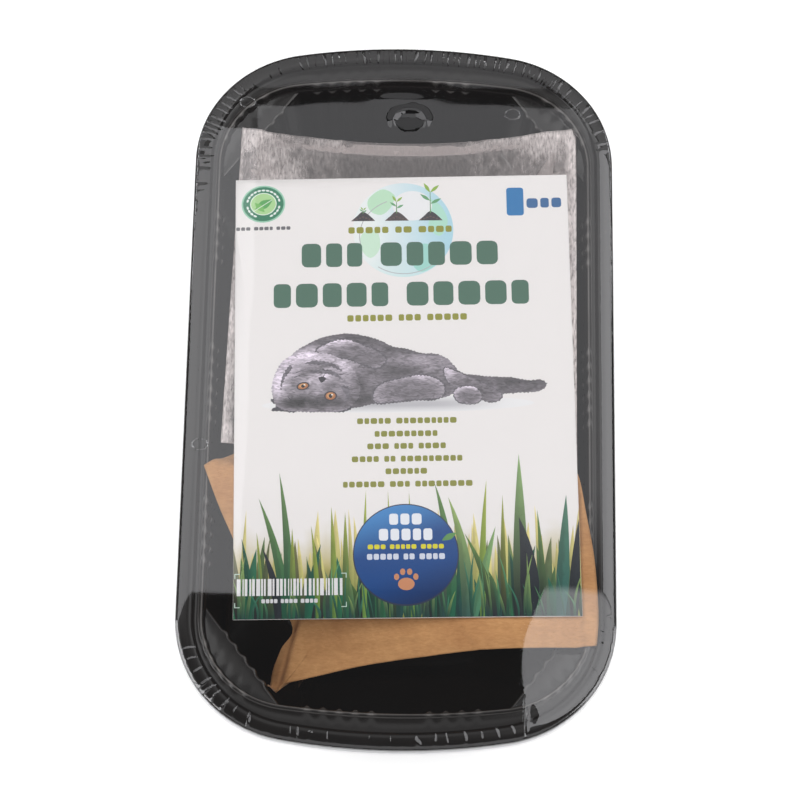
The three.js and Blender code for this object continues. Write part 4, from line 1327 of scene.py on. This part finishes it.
for step in range(1, skirt_steps + 1):
    share = step / skirt_steps
    ring = []
    for (lip_x, lip_y, wall), (base_x, base_y, wall), run in zip(lip_lap, base_lap, film_run):
        x, y = lip_x + (base_x - lip_x) * share, lip_y + (base_y - lip_y) * share
        pull = 1 - 0.018 * math.sin(math.pi * share)
        fold = noise.noise(Vector((run * 120, share * 1.2, 7))) * 0.006 * math.sin(math.pi * share)
        height = skirt_top + (skirt_foot - skirt_top) * share
        ring.append(Vector((x * (pull + fold), y * (pull + fold), height)))
    film_rings.append(ring)
for share in (0.97, 0.6, 0.1):
    film_rings.append([Vector((x * share, y * share, 0.15 * mm)) for x, y, wall in base_lap])
film = grow("shrink_film_wrap", film_rings)

# Each vent has a ring of melted film round it, laid on the film's top.
vent_radius, vent_bead_radius = 2 * mm, 0.22 * mm
for number, (vent_x, vent_y) in enumerate(((34.5, 94), (-50.4, 97), (-61, -21.5)), 1):
    bpy.ops.object.select_all(action="DESELECT")
    vent_place = Vector((vent_x * mm, vent_y * mm, film_height(vent_x * mm, vent_y * mm)))
    bpy.ops.mesh.primitive_torus_add(
        location=vent_place, major_segments=36, minor_segments=8,
        major_radius=vent_radius, minor_radius=vent_bead_radius)
    vent = bpy.context.object
    vent.scale = (1.2, 0.9, 0.9)
    vent.name = f"vent_{number}"
    bpy.ops.object.transform_apply(location=True, rotation=True, scale=True)
    bpy.ops.object.shade_smooth()
    film.select_set(True)
    bpy.context.view_layer.objects.active = film
    bpy.ops.object.join()

clear_film = bpy.data.materials.new("clear_film")
clear_film.use_nodes = True
nodes, links = clear_film.node_tree.nodes, clear_film.node_tree.links
gloss = nodes["Principled BSDF"]
gloss.inputs["Base Color"].default_value = (0.97, 0.97, 1.0, 1)
gloss.inputs["Metallic"].default_value = 1
place = nodes.new("ShaderNodeTexCoord")
add_sheen(clear_film, place, scale=35, detail=5, smoothest=0.004, dullest=0.03)
both_faces = nodes.new("ShaderNodeMapRange")
both_faces.inputs["From Max"].default_value = 0.3
both_faces.inputs["To Min"].default_value, both_faces.inputs["To Max"].default_value = 0.006, 0.55
# The film shines by its angle alone, so its underside is given the inverse index to match its top.
film_index = 1.5
facing_away = nodes.new("ShaderNodeNewGeometry")
seen_index = nodes.new("ShaderNodeMapRange")
seen_index.inputs["To Min"].default_value = film_index
seen_index.inputs["To Max"].default_value = 1 / film_index
links.new(facing_away.outputs["Backfacing"], seen_index.inputs["Value"])
fresnel = nodes.new("ShaderNodeFresnel")
links.new(seen_index.outputs["Result"], fresnel.inputs["IOR"])
links.new(fresnel.outputs["Fac"], both_faces.inputs["Value"])
links.new(both_faces.outputs["Result"], gloss.inputs["Alpha"])
film.data.materials.append(clear_film)
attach(film, "root")
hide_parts("shrink_film")

# The board glows a little, as a lit table does, so that it stays pure white.
bpy.ops.object.select_all(action="DESELECT")
bpy.ops.mesh.primitive_plane_add(size=8, location=(0, 0, 0))
floor = bpy.context.object
floor.name = "floor"
floor_paint = bpy.data.materials.new("floor_paint")
floor_paint.use_nodes = True
paint = floor_paint.node_tree.nodes["Principled BSDF"]
paint.inputs["Base Color"].default_value = (0.93, 0.93, 0.93, 1)
paint.inputs["Roughness"].default_value = 0.9
paint.inputs["Emission Color"].default_value = (1, 1, 1, 1)
paint.inputs["Emission Strength"].default_value = 0.56
floor.data.materials.append(floor_paint)

# Lights
# Softboxes hang overhead beyond the far end, with thin dark gaps between them, and shine in the film. A
# round lamp hangs before their right half. Two large panels at the sides light the card and the bags, and
# a dim panel over the near end and two narrow strips give the rims their shine.
def soft_light(name, place, target, width, height, power):
    bpy.ops.object.light_add(type="AREA", location=place)
    light = bpy.context.object
    light.name = name
    light.data.shape = "RECTANGLE"
    light.data.size = width
    light.data.size_y = height
    light.data.energy = power
    light.visible_camera = False
    light.rotation_euler = (Vector(target) - Vector(place)).to_track_quat("-Z", "Y").to_euler()
    return light


def fade_along(light, start, end, first, last):
    light.data.use_nodes = True
    nodes, links = light.data.node_tree.nodes, light.data.node_tree.links
    point = nodes.new("ShaderNodeNewGeometry")
    split = nodes.new("ShaderNodeSeparateXYZ")
    links.new(point.outputs["Position"], split.inputs["Vector"])
    glow = nodes.new("ShaderNodeMapRange")
    glow.inputs["From Min"].default_value, glow.inputs["From Max"].default_value = start, end
    glow.inputs["To Min"].default_value, glow.inputs["To Max"].default_value = first, last
    links.new(split.outputs["Y"], glow.inputs["Value"])
    links.new(glow.outputs["Result"], nodes["Emission"].inputs["Strength"])


# A level panel that shines straight down. Its near edge may fade out over a short way.
panel_height = 1.04
faded_glow = 0.06


def panel_overhead(name, left, right, near, far, brightness, faded=0.0):
    width, length = right - left, far - near
    middle_x, middle_y = (left + right) / 2, (near + far) / 2
    power = brightness * width * length * math.pi
    place, target = (middle_x, middle_y, panel_height), (middle_x, middle_y, 0)
    light = soft_light(name, place, target, width, length, power)
    light.rotation_euler = (0, 0, 0)
    if faded:
        fade_along(light, near, near + faded, faded_glow, 1)


panel_overhead("softbox_left", -0.7, -0.1, 0.286, 0.61, 1.5)
panel_overhead("softbox_middle", -0.1, 0.17, 0.29, 0.628, 0.8, 0.07)
panel_overhead("softbox_right", 0.17, 0.7, 0.29, 0.628, 2)
panel_overhead("softbox_beyond", -0.7, 0.7, 0.641, 1.3, 0.5)
panel_overhead("strip_far_left", -0.95, -0.75, 0.6, 1, 5)
panel_overhead("strip_far_right", 0.75, 0.95, 0.6, 1, 5)
lamp_x, lamp_y, lamp_width, lamp_power = 0.304, 0.225, 0.45, 0.95
round_lamp = soft_light("softbox_near_right", (lamp_x, lamp_y, panel_height - 0.002), (lamp_x, lamp_y, 0),
                        lamp_width, lamp_width, lamp_power)
round_lamp.data.shape = "DISK"
fade_along(round_lamp, 0.284, 0.29, 1, 0)
panel_overhead("panel_near", -0.8, 0.8, -1.2, -0.25, 0.6)
side_panel_size = (0.9, 1.1)
soft_light("side_panel_left", (-1.15, -0.1, 0.85), (0, 0, 0), *side_panel_size, 12)
soft_light("side_panel_right", (1.15, -0.1, 0.85), (0, 0, 0), *side_panel_size, 9.8)

world = bpy.data.worlds.new("studio")
bpy.context.scene.world = world
world.use_nodes = True
world.node_tree.nodes["Background"].inputs["Color"].default_value = (1, 1, 1, 1)
world.node_tree.nodes["Background"].inputs["Strength"].default_value = 0.1
bpy.context.scene.view_settings.view_transform = "Standard"
